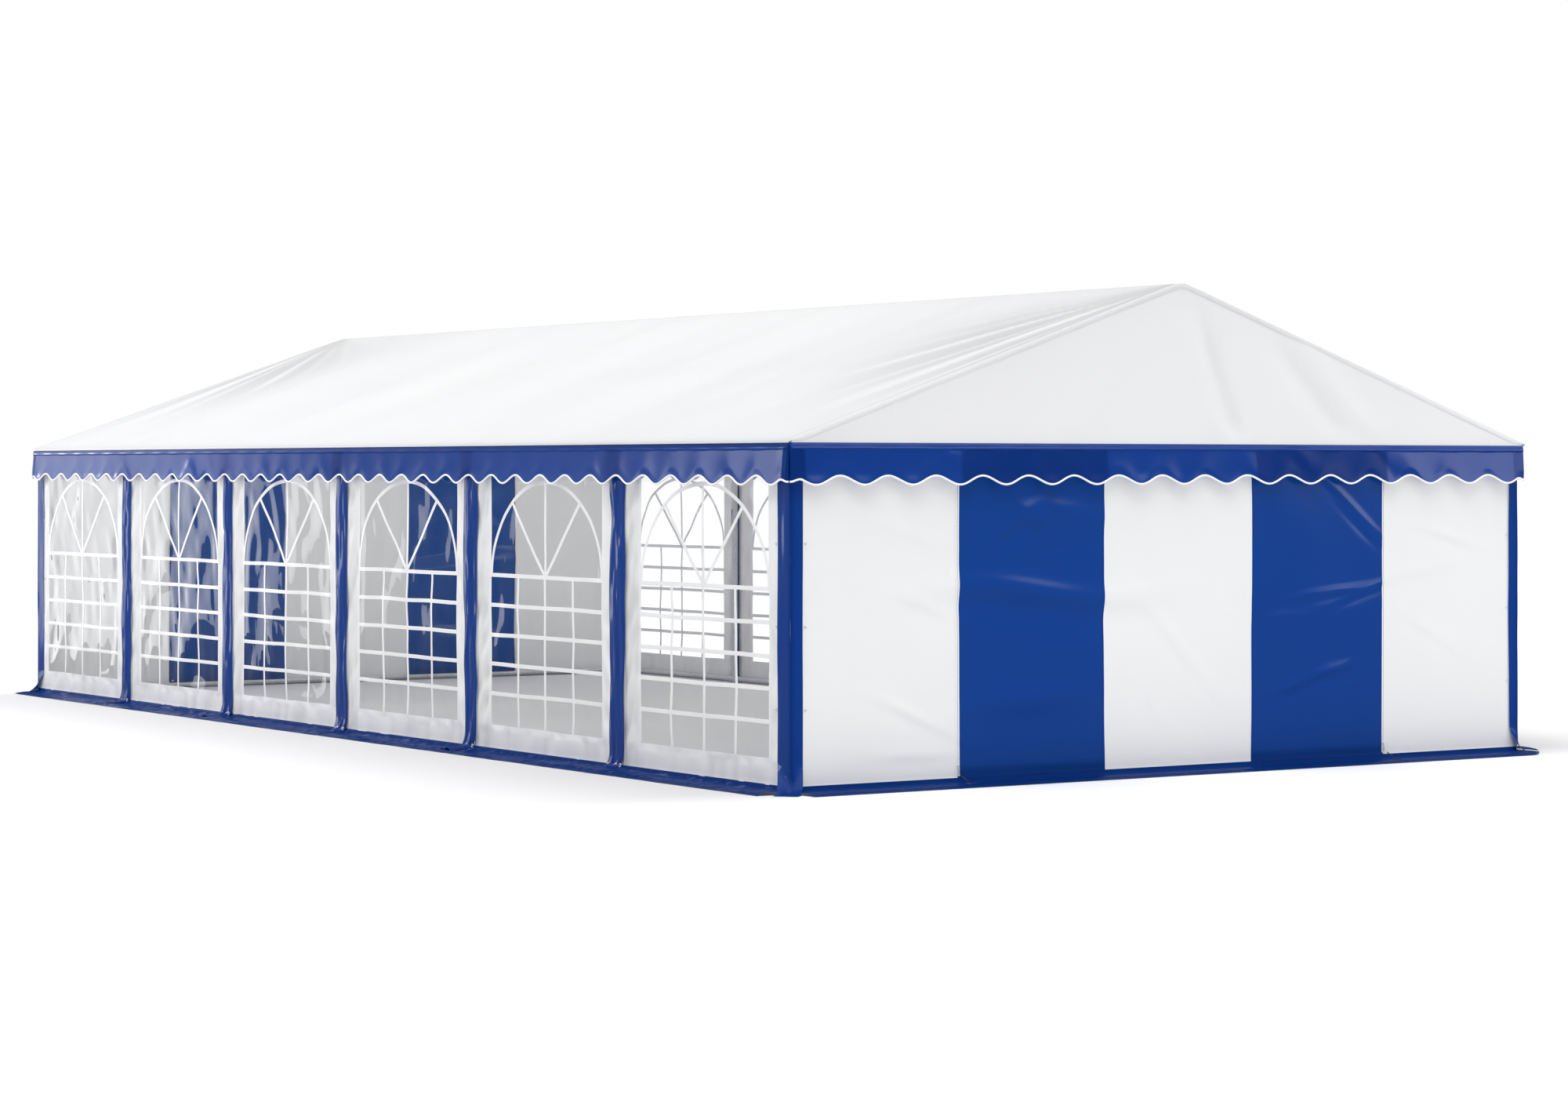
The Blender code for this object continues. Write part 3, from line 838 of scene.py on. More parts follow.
def gableDepth(s, q, end):  # how far the striped walls stand out
    seed = 500 if end == "front" else 560
    mirror = 1 if end == "front" else -1
    s, q = np.broadcast_arrays(np.asarray(s, float), np.asarray(q, float))
    held = ease(tent["wallTop"] - q, 0, 0.25) * ease(tent["halfWidth"] - np.abs(s), 0, 0.2)
    loose = waves(gable["bulge"], s, q, seed) + waves(gable["ripple"], s, q, seed + 1, 0.6 * q)
    depth = gable["set"] + held * loose
    for across, height, slant, length, rise, width in gable["creases"]:
        turn = math.radians(slant)
        ds, dz = mirror * s - across, q - height
        along = ds * math.cos(turn) + dz * math.sin(turn)
        over = dz * math.cos(turn) - ds * math.sin(turn) + 0.05 * np.sin(along * 3.0)
        ridge = swell(over, width) - 0.5 * swell(over + 1.5 * width, 1.4 * width)
        depth = depth + rise * ridge * swell(along, length * 0.45) * held
    return depth


def gableStripe(end, name, low, high, finish, node):
    across = lines((low, high, 0.020))
    up = lines((foot["seam"], 0.10, 0.010), (0.10, tent["wallTop"], 0.018))
    hem = gable["hem"] if finish == "blue" else 0.0

    def place(s, q):
        free = ease(tent["wallTop"] - q, 0, 0.2) * (np.abs(s) < tent["halfWidth"] - 0.01)
        return hung(end, s + free * waves(gable["edgeSway"], q, s, 590), q, gableDepth(s, q, end) + hem)

    def paintedShadeAndMatt(s, q):
        # painted shade: the blue stripes darker and less glossy at the foot
        return (1.2 if finish == "blue" else 0.0) * ease(q, 0.13, 0.08)

    piece = gridPiece(f"{end}_{name}", across, up, place, finish, turnedIn(end), paintedShade=paintedShadeAndMatt)
    if node:
        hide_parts(f"{end}_{node}")
    flat = (high - low, tent["wallTop"] - foot["seam"])


def gableSkirt(end, name, low, high):
    seed = 620 + int(10 * abs(low)) + (40 if end == "back" else 0)
    across = lines((low, high, 0.03))
    up = lines((skirts["outer"], skirts["top"], 0.0125))

    def place(s, q):
        lying = ease(foot["seam"] - q, 0.01, 0.06) * ease(q - skirts["outer"], 0.0, 0.05)
        wave = waves(skirts["gableWave"], s, q, seed) + waves(skirts["gableFineWave"], s, q, seed + 1)
        lift = skirts["lift"] + lying * (skirts["gableRoll"] + wave)
        return hung(end, s, q, np.maximum(lift, 0.0004))

    def paintedShadeAndMatt(s, q):  # painted shade: darker and less glossy, but for one long soft painted gleam
        return skirts["paintedShadeAndMatt"] - 0.7 * ease(q, -0.08, -0.04) * ease(q, 0.02, -0.02)

    piece = gridPiece(f"{end}_{name}_skirt", across, up, place, "glossyBlue", turnedIn(end), paintedShade=paintedShadeAndMatt)
    flat = (high - low, skirts["top"] - skirts["outer"])


def settled():  # the last object, with its place, turn and size taken into its mesh
    bpy.ops.object.transform_apply(location=True, rotation=True, scale=True)
    return bpy.context.object


def soften(piece, width):  # small rounded edges
    edges = piece.modifiers.new("soften", "BEVEL")
    edges.width = width
    edges.segments = 2
    bpy.ops.object.modifier_apply(modifier="soften")


def smallBox(name, size, place, bevel):  # a box with softened edges, for hard fittings
    noCurrent()
    bpy.ops.mesh.primitive_cube_add(size=1, location=place, scale=size)
    box = settled()
    box.name = box.data.name = name
    if bevel:
        soften(box, bevel)
    return box


def wireRing(radius, wire, steps, place=(0, 0, 0), turn=(0, 0, 0)):
    noCurrent()
    bpy.ops.mesh.primitive_torus_add(
        location=place,
        rotation=turn,
        major_radius=radius,
        minor_radius=wire,
        major_segments=steps,
        minor_segments=8,
    )
    return settled()


def copies(master, matrices):  # a copy, with its own mesh, for each place
    made = []
    for matrix in matrices:
        mesh = master.data.copy()
        mesh.transform(matrix)
        copy = bpy.data.objects.new(master.name, mesh)
        scene.collection.objects.link(copy)
        made.append(copy)
    bpy.data.objects.remove(master)
    return made


def joined(name, parts, finish, smooth=True):  # one piece from several, at the origin
    noCurrent()
    for part in parts:
        part.select_set(True)
    bpy.context.view_layer.objects.active = parts[0]
    if len(parts) > 1:
        bpy.ops.object.join()
    piece = bpy.context.object
    piece.name = piece.data.name = name
    if smooth:
        bpy.ops.object.shade_smooth_by_angle(angle=math.radians(35))
    return dressed(piece, finish)


def pipingAlong(name, points, radius, finish="piping"):  # a round welt sewn along an edge
    curve = bpy.data.curves.new(name, "CURVE")
    curve.dimensions = "3D"
    curve.bevel_depth = radius
    curve.bevel_resolution = 1
    curve.use_fill_caps = True
    spline = curve.splines.new("POLY")
    spline.points.add(len(points) - 1)
    spline.points.foreach_set("co", np.column_stack([points, np.ones(len(points))]).ravel())
    noCurrent()
    welt = bpy.data.objects.new(name, curve)
    scene.collection.objects.link(welt)
    welt.select_set(True)
    bpy.context.view_layer.objects.active = welt
    bpy.ops.object.convert(target="MESH")
    welt = bpy.context.object
    welt.name = welt.data.name = name
    bpy.ops.object.shade_smooth()
    return dressed(welt, finish)


zipper = {
    "tape": 0.024,
    "tooth": (0.0055, 0.0022, 0.0040),
    "pitch": 0.0085,
    "pullerHeight": 0.105,
    "body": (0.013, 0.007, 0.020),
    "bridge": (0.004, 0.006, 0.012),
    "tab": (0.010, 0.0025, 0.042),
    "ring": (0.007, 0.0014, 20),
    "cord": 0.0035,
    "cordReach": 0.13,
}


def zipPiece(end, name, x):  # zip tape, teeth, and a slider at the foot
    def tapeDepth(s, z):
        return gableDepth(s + x, z, end) + 0.0016

    q = np.linspace(foot["radius"], tent["wallTop"], 110)
    run = np.stack([0 * q, q], 1)
    stripMesh(f"{end}_{name}_tape", [run], zipper["tape"], tapeDepth, end, x, "zipTape")
    side = -1 if end == "front" else 1
    heights = np.arange(foot["radius"] + 0.01, tent["wallTop"] - 0.01, zipper["pitch"])
    depth = gableDepth(x + 0 * heights, heights, end) + 0.0022
    tooth = smallBox("tooth", zipper["tooth"], (0, 0, 0), 0)
    spots = [Matrix.Translation((x, side * (tent["halfLength"] + d), z)) for d, z in zip(depth, heights)]
    joined(f"{end}_{name}_teeth", copies(tooth, spots), "teeth", False)
    y = side * (tent["halfLength"] + float(depth[0]) + 0.004)
    front, z = y + side * 0.007, zipper["pullerHeight"]
    body = smallBox("slider", zipper["body"], (x, y, z + 0.012), 0.0025)
    bridge = smallBox("bridge", zipper["bridge"], (x, y + side * 0.004, z + 0.012), 0.0015)
    tab = smallBox("tab", zipper["tab"], (x, front, z - 0.016), 0.0012)
    ring = wireRing(*zipper["ring"], (x, front, z - 0.040), (math.pi / 2, 0, 0))
    joined(f"{end}_{name}_slider", [body, bridge, tab, ring], "steel")
    t = np.linspace(0, 1, 26)  # cord end that curls over the skirt
    cordX = x + 0.10 * t ** 1.5 + 0.006 * np.sin(t * 7)
    cordOut = 0.036 + zipper["cordReach"] * t
    cordZ = np.maximum((zipper["pullerHeight"] - 0.045) * (1 - t * 1.7), 0.024 - 0.012 * t)
    pipingAlong(f"{end}_{name}_cord", onWall(end, cordX, cordOut, cordZ), zipper["cord"], "black")


def gableWall(end):
    outer = tent["halfWidth"]
    inner = outer - gable["sideStripe"]
    middle, lap = gable["middleHalf"], gable["lap"]
    gableStripe(end, "left_white_stripe", -outer, -inner, "white", "left_gable_panel")
    gableStripe(end, "left_blue_stripe", -inner + 0.003, -middle + lap, "blue", None)
    gableStripe(end, "middle_white_stripe", -middle - lap, middle + lap, "white", "door_curtain")
    gableStripe(end, "right_blue_stripe", middle - lap, inner - 0.003, "blue", None)
    gableStripe(end, "right_white_stripe", inner, outer, "white", "right_gable_panel")
    gableSkirt(end, "left", -outer + 0.02, -inner)
    gableSkirt(end, "middle", -inner, inner)
    gableSkirt(end, "right", inner, outer - 0.02)
    zipPiece(end, "left_zip", -inner)
    zipPiece(end, "right_zip", inner)


for endName in gableEnds:
    gableWall(endName)
print("gable walls are hung")


# Roof

roof = {
    "ridgeRound": 0.035,
    "sag": 0.013,  # between the portals
    "ripple": 0.0045,
    "fineRipple": 0.0016,
    "fan": 0.0095,  # folds that spread from the ends of the ridge
    "fanFolds": 31,
    "fanSpread": 0.85,
    "reach": 6.032,
    # how far in from each verge the painted dark line runs
    "seam": 0.055,
    "edge": 3.018,
    "hem": (0.006, 0.013, 0.021, 0.034),
    "curl": 0.0026,
}


def fromApex(a, y, end):  # turn from the verge and distance, seen from one end of the ridge
    away = np.maximum(tent["halfLength"] - end * y, 0)
    return np.arctan2(away, np.abs(a) + 1e-6), np.hypot(away, a)


def roofFan(a, y, end):  # sharp folds that spread from one end of the ridge
    side = np.where(a < 0, 0.0, 40.0)
    angle, far = fromApex(a, y, end)
    spread = ease(angle, 0.02, 0.08) * ease(angle, 1.30, 0.55)
    along = ease(far, 0.10, 0.8) * ease(far, 3.00 - 0.8 * angle, 1.7 - 0.6 * angle)
    turn = angle ** roof["fanSpread"] * roof["fanFolds"]
    turn = turn + 1.2 * softNoise(far / 1.1, side, 703) + 1.5 * softNoise(angle * 7, side, 705)
    crest = (0.5 + 0.5 * np.sin(turn)) ** 4
    crest = crest * (1 + 0.6 * softNoise(angle * 9, far / 1.6 + side, 704))
    return crest * spread * along * np.where(a < 0, 1.0, 0.4)


def nearApex(a, y, end):  # 1 near one end of the ridge: painted shade where the cloth draws in there
    angle, far = fromApex(a, y, end)
    return ease(angle, 1.45, 0.70) * ease(far, 3.2 - 0.6 * angle, 1.0)


def roofLine(a):  # height over the ground, without sag or folds
    rounded = np.sqrt(a * a + roof["ridgeRound"] ** 2) - 0.012
    return tent["ridge"] - math.sin(pitch) * rounded


def roofHeight(a, y):  # a is the way along the cloth from the ridge, square to it
    a, y = np.broadcast_arrays(np.asarray(a, float), np.asarray(y, float))
    share = np.clip(np.abs(a) / roofLength, 0, 1)
    between = np.sin(math.pi * (y + tent["halfLength"]) / tent["bay"]) ** 2
    sag = roof["sag"] * np.sin(math.pi * share) * between
    z = roofLine(a) - sag * (1 + 0.4 * softNoise(y / 2.0, np.sign(a), 700))
    side = np.where(a < 0, 0.0, 40.0)
    loose = ease(share, 0.0, 0.12) * ease(1 - share, 0.0, 0.10)
    loose = loose * ease(tent["halfLength"] - np.abs(y), 0.0, 0.4)
    z = z + roof["ripple"] * loose * softNoise(y / 0.42 + 0.5 * share, a / 1.7 + side, 701)
    z = z + roof["fineRipple"] * loose * softNoise(y / 0.16, a / 0.6 + side, 702)
    return a * math.cos(pitch), z + roof["fan"] * sum(roofFan(a, y, end) for end in (-1, 1))


roofLength = roof["edge"] / math.cos(pitch)  # from the ridge to an eave, along the cloth


def roofCover():
    length, reach, hem = roofLength, roof["reach"], np.array(roof["hem"])
    half = lines((0.0, 0.10, 0.0125), (0.10, length, 0.052))
    across = np.concatenate([-half[::-1], half[1:]])
    edgeRows = np.array([0.010, 0.020])
    across = np.concatenate([-(length + edgeRows)[::-1], across, length + edgeRows])
    inland = ((-5.90, -3.6, 0.028), (-3.6, 3.6, 0.075), (3.6, 5.90, 0.028))
    ys = lines((-reach, -5.90, 0.006), *inland, (5.90, reach, 0.006))
    up = np.concatenate([-(reach + hem)[::-1], ys, reach + hem])

    def place(a, y):
        past = np.maximum(np.abs(a) - length, 0)
        inner = np.sign(a) * np.minimum(np.abs(a), length)
        over = np.maximum(np.abs(y) - reach, 0)
        yIn = np.sign(y) * np.minimum(np.abs(y), reach)
        x, z = roofHeight(inner, yIn)
        x = x + np.sign(a) * 0.004 * np.sin(np.clip(past / 0.020, 0, 1) * math.pi * 0.75)
        atEave = ease(np.abs(inner), length - 0.12, length)
        curl = roof["curl"] * np.sin(np.clip(over / hem[-1], 0, 1) * math.pi * 1.1)
        drop = np.maximum(past * 0.72, over * 0.9 * (1 - 0.8 * atEave))
        return np.stack([x, yIn + np.sign(y) * curl, z - drop], 1)

    def paintedRoofShade(a, y):  # painted shade: a dark line along each verge, darker towards the ridge near the gables and near each end of the ridge, lighter on the crests of the fan folds, and a grey band at the eaves
        verge = 0.55 * swell(reach - np.abs(y) - roof["seam"], 0.012)
        folds = 0.30 * ease(np.abs(y), 2.0, 5.5) * ease(np.abs(a), 2.8, 0.6)
        for end in (-1, 1):
            drawn = 0.95 * nearApex(a, y, end) - 1.6 * roofFan(a, y, end)
            folds = folds + drawn * ease(reach - end * y, 0.03, 0.07)
        return np.maximum(verge + folds, 0.7 * ease(np.abs(a), length - 0.055, length - 0.005))

    sheet = gridPiece("roof_cover", across, up, place, "white", paintedShade=paintedRoofShade)
    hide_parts("left_roof_slope", "right_roof_slope")


gableTopLook = {
    "stand": 0.0285,  # from the wall's outer face
    "low": tent["eave"] - 0.022,
    "wave": 0.002,
    "folds": (  # from and to, across and down from the apex, width, height
        (0.10, 0.10, 0.46, 0.95, 0.062, -0.016),
        (0.00, 0.15, 0.26, 0.95, 0.095, 0.012),
        (0.70, 0.28, 1.36, 0.95, 0.085, -0.011),
        (0.86, 0.28, 1.60, 0.95, 0.090, 0.007),
        (-0.30, 0.30, -0.85, 0.95, 0.110, 0.005),
    ),
}


def gableTopDepth(x, z, end):
    seed = 720 if end == "front" else 760
    mirror = 1 if end == "front" else -1
    down = tent["ridge"] - z
    depth = gableTopLook["wave"] * softNoise(x * 1.1, z * 2.0, seed)
    for x0, down0, x1, down1, width, rise in gableTopLook["folds"]:
        run, drop = x1 - x0, down1 - down0
        length = math.hypot(run, drop)
        along = ((mirror * x - x0) * run + (down - down0) * drop) / length
        over = ((mirror * x - x0) * drop - (down - down0) * run) / length
        depth = depth + rise * swell(over, width) * ease(along, -0.05, 0.45)
    settle = ease(z, tent["eave"] - 0.02, tent["eave"] + 0.16)
    return gableTopLook["stand"] + depth * settle


def gableTop(end):
    low, edge = gableTopLook["low"], tent["halfWidth"] + 0.012
    across = lines((-edge, edge, 0.034))
    up = np.linspace(0, 1, 34)

    def place(x, t):
        top = roofLine(x / math.cos(pitch)) - 0.006
        z = low + t * (np.maximum(top, low + 0.006) - low)
        return onWall(end, x, gableTopDepth(x, z, end), z)

    def shaded(x, t):  # painted shade: a little all over, darker in the folds
        z = low + t * (tent["ridge"] - slope * np.abs(x) - low)
        return 0.07 + 0.32 * np.clip((0.0275 - gableTopDepth(x, z, end)) / 0.014, 0, 1)

    piece = gridPiece(f"{end}_gable_top_cloth", across, up, place, "white", turnedIn(end), paintedShade=shaded)
    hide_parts(f"{end}_gable_top")
    width, height = 2 * tent["halfWidth"], tent["ridge"] - low
    0.52 * width * height


roofCover()
for endName in gableEnds:
    gableTop(endName)
print("roof is stretched")


# Valances

valance = {
    "drop": 0.2375,
    "wave": 0.0275,
    "waves": {"left": 36, "right": 36, "front": 17, "back": 17},
    "band": 0.036,  # flat welt at the top, over the rope in the roof's edge
    "stand": 0.0305,
    "lean": 0.017,  # how far the foot hangs out
    "piping": 0.0068,
    "corner": 0.016,
    "cornerDip": 0.036,
    "seamAt": 0.058,  # welded seam beside the corner
    "seamRise": 0.0035,
    "bandOut": 0.007,
    "bandBack": 0.004,
    "sway": (0.0050, 0.34, 1.25),
    "fineSway": (0.0018, 0.12, 1 / 1.4),
    "lobes": 0.0040,
    "gableFolds": ((0.95, 0.10, 0.005), (1.80, 0.14, 0.004), (1.60, 0.06, -0.002), (-1.9, 0.12, 0.003)),
    "shineAt": (-4.0, -3.0, 0.0, 2.0, 3.5, 5.5),  # painted sheen: the long valances darker and less glossy around the middle, glossier towards the back
    "shine": (0.0, 0.0, -0.6, -0.1, 0.2, 0.6),
}


def valanceHalf(wall):
    return (tent["halfLength"] if wall in longWalls else tent["halfWidth"]) + valance["stand"]


def waveAt(wall, s):  # 1 where the edge is high
    return np.cos(math.pi * valance["waves"][wall] * (s / valanceHalf(wall) + 1))


def valancePoints(wall, s, t, seed):  # t is 0 at the top and 1 at the waved edge
    s, t = np.broadcast_arrays(np.asarray(s, float), np.asarray(t, float))
    half, corner, band = valanceHalf(wall), valance["corner"], valance["band"]
    toEdge = half - np.abs(s)
    wave = waveAt(wall, s)
    top = tent["eave"] - 0.010
    dip = valance["cornerDip"] * ease(toEdge, 0.085, 0.0)
    low = tent["eave"] - valance["drop"] + valance["wave"] * wave - dip
    below = (top - low) * t
    out = valance["lean"] * t - valance["lobes"] * wave * ease(t, 0.7, 1.0)
    out = out + valance["bandOut"] * ease(below, 0, band)
    out = out - valance["bandBack"] * ease(below, band, band + 0.006)
    sway = waves(valance["sway"], s, t, seed) + waves(valance["fineSway"], s, t, seed + 1)
    out = out + sway * ease(t, 0.15, 1.0)
    if wall in longWalls:
        seam = swell(toEdge - valance["seamAt"], 0.006) * ease(t, 0.14, 0.2)
        out = out + valance["seamRise"] * seam
    else:
        mirror = 1 if wall == "front" else -1
        shown = ease(t, 0.0, 0.3) * ease(t, 1.3, 0.8)
        for middle, width, rise in valance["gableFolds"]:
            out = out + rise * swell(mirror * s - middle - 0.25 * t, width) * shown
    past = np.maximum(corner - toEdge, 0)
    turn = past / corner * (math.pi / 4)
    reach = np.sign(s) * (np.minimum(np.abs(s), half - corner) + corner * np.sin(turn))
    held = 1 - 0.6 * ease(past, 0, corner)
    stand = valance["stand"] + out * held - corner * (1 - np.cos(turn))
    return onWall(wall, reach, stand, top - below)


def paintedValanceShade(wall, s, t):  # painted shade on a valance: darker where blue flaps, stripes or corner covers lie behind it and along the top welt; on the long walls also a painted highlight just inside each corner seam and painted sheen towards the back
    place = np.abs(s)
    if wall in longWalls:
        middle = (flap["far"] - flap["near"]) / 2
        local = np.mod(s + tent["bay"] / 2 - middle, tent["bay"]) - tent["bay"] / 2
        dark = ease(np.abs(local), 0.125, 0.055) * (place < 5.0) * np.interp(s, (-5, 5), (0.75, 0.35))
        edge = valanceHalf(wall) - valance["seamAt"]
        corner = np.where(s < 0, 1.3, 0.2)
        dark = np.maximum(dark, corner * ease(place, edge + 0.004, edge + 0.010))
        gleam = 1.2 * ease(place, edge - 0.10, edge) * ease(place, edge + 0.005, edge)
        band = ease(t, 0.13, 0.115)
        shine = np.interp(s, valance["shineAt"], valance["shine"])
        return (dark - gleam - shine) * (1 - band) + 1.2 * band
    inner = tent["halfWidth"] - gable["sideStripe"]
    middle, half = (inner + gable["middleHalf"]) / 2, (inner - gable["middleHalf"]) / 2
    dark = ease(np.abs(place - middle), half + 0.012, half - 0.012)
    corner = np.where(s < 0, 1.3, 0.5)
    edge = tent["halfWidth"] - cover["gable"]
    return np.maximum(dark, corner * ease(place, edge, edge + 0.013)) * ease(t, 0.16, 0.19)


def valancePiece(wall):
    seed = {"left": 800, "right": 820, "front": 840, "back": 860}[wall]
    half = valanceHalf(wall)
    near = half - 0.12
    step = half / valance["waves"][wall] / 11
    across = lines((-half, -near, 0.004), (-near, near, step), (near, half, 0.004))
    up = np.concatenate([np.linspace(0, 0.20, 11)[:-1], np.linspace(0.20, 1, 17)])

    def place(s, t):
        return valancePoints(wall, s, t, seed)

    # painted shade and painted highlights on the valance cloth
    def paintedShadeOnValance(s, t):
        return paintedValanceShade(wall, s, t)

    flip = wall in ("right", "front")  # the grid runs downwards here
    cloth = gridPiece(f"{wall}_valance_cloth", across, up, place, "blue", flip, paintedShade=paintedShadeOnValance)
    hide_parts(f"{wall}_valance")
    edge = valancePoints(wall, across, 1.0, seed)
    trim = pipingAlong(f"{wall}_valance_piping", edge, valance["piping"])


for wallName in longWalls + gableEnds:
    valancePiece(wallName)
print("valances are hung")


# Corner covers

def cornerCover(end, wall):
    seed = 900 + (0 if end == "front" else 20) + (0 if wall == "left" else 40)
    sideX = -1 if wall == "left" else 1
    sideY = -1 if end == "front" else 1
    across = lines((-cover["long"], -0.03, 0.011), (-0.03, 0.03, 0.005), (0.03, cover["gable"], 0.011))
    up = lines((-cover["tongue"], 0.24, 0.011), (0.24, tent["wallTop"], 0.026))
    radius, curl, diagonal = cover["round"], cover["curl"], math.sqrt(0.5)
    arc = radius * math.pi / 2

    def place(p, q):  # p is negative along the window wall, positive along the gable
        stand = cover["stand"] + waves(cover["sway"], p, q, seed, 3)
        stand = stand + waves(cover["fineSway"], p, q, seed + 1)
        bend = np.clip((p + arc / 2) / arc, 0, 1) * math.pi / 2
        outX = stand - radius * (1 - np.cos(bend)) - np.maximum(p - arc / 2, 0)
        outY = stand - radius * (1 - np.sin(bend)) + np.minimum(p + arc / 2, 0)
        opened = ease(q, 0.20, 0.0)  # the foot opens flat and curls out over the ground
        spread = diagonal * (p + 0.027) * cover["open"]
        outX = outX + (stand - spread - outX) * opened
        outY = outY + (stand + spread - outY) * opened
        past = np.maximum(curl + 0.004 - q, 0)
        turn = np.minimum(past / curl, math.pi / 2)
        away = curl * (1 - np.cos(turn)) + np.maximum(past - curl * math.pi / 2, 0)
        z = np.where(past > 0, 0.006 + curl * (1 - np.sin(turn)), q)
        crease = cover["crease"] * softNoise(q / 0.5, 2, seed + 2) * ease(np.abs(p), 0.05, 0.12)
        x = tent["halfWidth"] + outX + away * diagonal + crease
        y = tent["halfLength"] + outY + away * diagonal + crease
        return np.stack([sideX * x, sideY * y, z], 1)

    def paintedShadeAndMatt(p, q):
        # painted shade: darker and less glossy along the rounded fold and at the foot
        return np.maximum(0.9 * swell(p, 0.022), 0.7 * ease(q, 0.12, 0.0))

    name = f"{end}_{wall}_corner"
    piece = gridPiece(f"{name}_cloth", across, up, place, "glossyBlue", sideX * sideY < 0, paintedShade=paintedShadeAndMatt)
    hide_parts(f"{name}_cover")


for endName in gableEnds:
    for wallName in longWalls:
        cornerCover(endName, wallName)
print("corners are covered")


# Frame fittings

for name, node in nodes.items():
    if any(word in name for word in ("frame", "purlin", "bar")):
        node.data.materials.clear()
        node.data.materials.append(finishes["steel"][0])

fittings = {
    "boltAcross": 0.0085,
    "boltHigh": 0.006,
    "boltAt": 0.0235,  # from the axis of a tube
    "rafterBolts": (0.13, 2.98),  # up the rafter from the eave
    "plateBolts": ((0.085, 0.045), (0.105, -0.02)),
    "endPlateBolts": ((0.085, 0.045), (0.105, 0.085)),
    "eaveJoint": 2.1013,
    "middlePurlin": (1.4581, 2.5602),
    "clamp": (0.0262, 0.0030),  # radius of a ring, and of its wire
    "clip": (0.0285, 0.0022),
    "eyelet": (0.0085, 0.0022),
    "footRing": (0.011, 0.0028),
    "lashings": (0.50, 1.00, 1.50),
}
portalYs = [-tent["postY"], -4.0, -2.0, 0.0, 2.0, 4.0, tent["postY"]]
sideways = (0, math.pi / 2, 0)


def shortCylinder(sides, radius, depth, middle):  # along +Z
    noCurrent()
    place = (0, 0, middle)
    bpy.ops.mesh.primitive_cylinder_add(vertices=sides, radius=radius, depth=depth, location=place)
    return settled()


def hexBolt():  # head on a washer, along +Z
    across, high = fittings["boltAcross"], fittings["boltHigh"]
    head = shortCylinder(6, across, high, high / 2 + 0.0015)
    soften(head, 0.001)
    washer = shortCylinder(20, across * 1.45, 0.002, 0.0005)
    noCurrent()
    head.select_set(True)
    washer.select_set(True)
    bpy.context.view_layer.objects.active = head
    bpy.ops.object.join()
    return bpy.context.object


def facing(place, direction):
    return Matrix.Translation(place) @ Vector(direction).to_track_quat("Z", "Y").to_matrix().to_4x4()


def addBolts():
    eaveZ, skin = fittings["eaveJoint"], fittings["boltAt"]
    spots = []
    for y in portalYs:
        plate = fittings["plateBolts"]
        if abs(y) > 5:  # towards the middle of the tent
            plate = [(dx, dy if y < 0 else -dy) for dx, dy in fittings["endPlateBolts"]]
        for side in (-1, 1):
            x = side * tent["postX"]
            for z in (eaveZ - 0.105, 0.115):
                spots.append(facing((x - side * skin, y, z), (-side, 0, 0)))
            rafter = Vector((-side * math.cos(pitch), 0, math.sin(pitch)))
            under = Vector((-side * math.sin(pitch), 0, -math.cos(pitch)))
            for reach in fittings["rafterBolts"]:
                spots.append(facing(Vector((x, y, eaveZ)) + rafter * reach + under * skin, under))
            for dx, dy in plate:
                spots.append(facing((x - side * dx, y + dy, 0.006), (0, 0, 1)))
    joined("frame_bolts", copies(hexBolt(), spots), "steel")


def addFootRings():  # where the zips of the window walls end
    spots = []
    for side in (-1, 1):
        for y in portalYs[1:-1]:
            place = (side * (tent["halfWidth"] + 0.042), y - flap["near"] - 0.010, 0.047)
            spots.append(Matrix.Translation(place))
    ring = wireRing(*fittings["footRing"], 24, turn=sideways)
    joined("foot_rings", copies(ring, spots), "steel")


def addClamps():  # straps that hold the middle purlins under the rafters
    x, z = fittings["middlePurlin"]
    upright = Matrix.Rotation(math.pi / 2, 4, "X")
    spots = []
    for y in portalYs:
        for side in (-1, 1):
            for dy in (-0.012, 0.012):
                if abs(y + dy) < tent["postY"] + 0.01:
                    spots.append(Matrix.Translation((side * x, y + dy, z)) @ upright)
    joined("purlin_clamps", copies(wireRing(*fittings["clamp"], 32), spots), "steel")


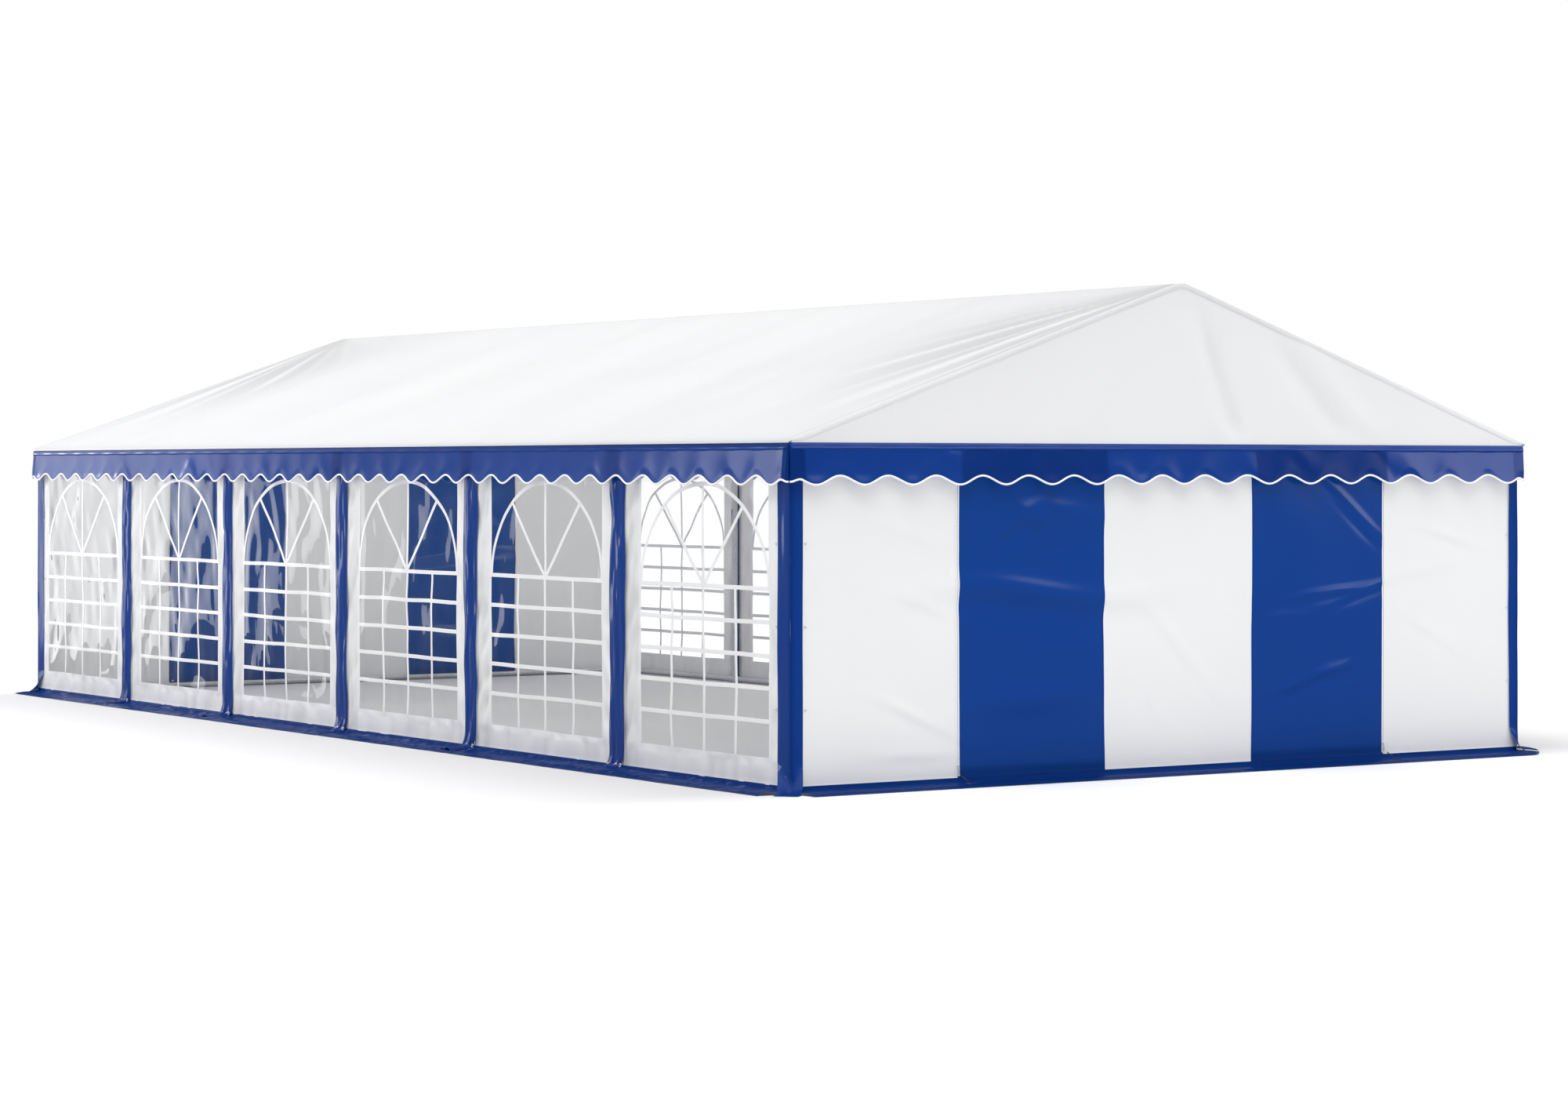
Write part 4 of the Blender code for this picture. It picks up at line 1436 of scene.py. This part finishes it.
def postClip():  # half a ring of wire, on the wall's side of a post
    radius, wire = fittings["clip"]
    clip = wireRing(radius, wire, 36)
    bm = bmesh.new()
    bm.from_mesh(clip.data)
    bmesh.ops.delete(bm, geom=[v for v in bm.verts if v.co.x > 1e-5], context="VERTS")
    for side in (-1, 1):  # its two ends are closed
        rim = [v for v in bm.verts if v.co.x > -1e-5 and v.co.y * side > 0]
        rim.sort(key=lambda v: side * math.atan2(v.co.z, v.co.y * side - radius))
        bm.faces.new(rim)
    bm.to_mesh(clip.data)
    bm.free()
    return clip


def addClips():  # round the posts, hooked in eyelets of the panels
    spots = []
    for side in (-1, 1):
        turn = Matrix.Rotation(0 if side < 0 else math.pi, 4, "Z")
        for y in portalYs:
            for z in fittings["lashings"]:
                spots.append(Matrix.Translation((side * tent["postX"], y, z)) @ turn)
    joined("post_clips", copies(postClip(), spots), "steel")


def addEyelets():
    spots = []
    for side in (-1, 1):
        x = side * (tent["halfWidth"] - 0.009)
        for y in portalYs[1:-1]:
            for z in fittings["lashings"]:
                for dy in (-0.034, 0.034):
                    spots.append(Matrix.Translation((x, y + dy, z)))
    turned = Matrix.Rotation(math.pi / 2, 4, "Z") @ Matrix.Scale(0.8, 4)
    wide, long = tent["halfWidth"], tent["halfLength"]
    for z in fittings["lashings"]:
        for sideX in (-1, 1):
            for sideY in (-1, 1):
                onGable = (sideX * (wide - 0.105), sideY * (long + 0.001), z)
                onLong = (sideX * (wide + 0.001), sideY * (long - 0.16), z)
                spots.append(Matrix.Translation(onGable) @ turned)
                spots.append(Matrix.Translation(onLong))
    eyelet = wireRing(*fittings["eyelet"], 24, turn=sideways)
    joined("panel_eyelets", copies(eyelet, spots), "steel")


addBolts()
addFootRings()
addClamps()
addClips()
addEyelets()
print("frame is fitted")


# Floor

noCurrent()
bpy.ops.mesh.primitive_plane_add(size=pale["size"], location=(0, 0, 0))
floor = bpy.context.object
floor.name = "studio_floor"
floor.data.materials.append(paleFloor())
floor.visible_glossy = False
print("floor is laid")
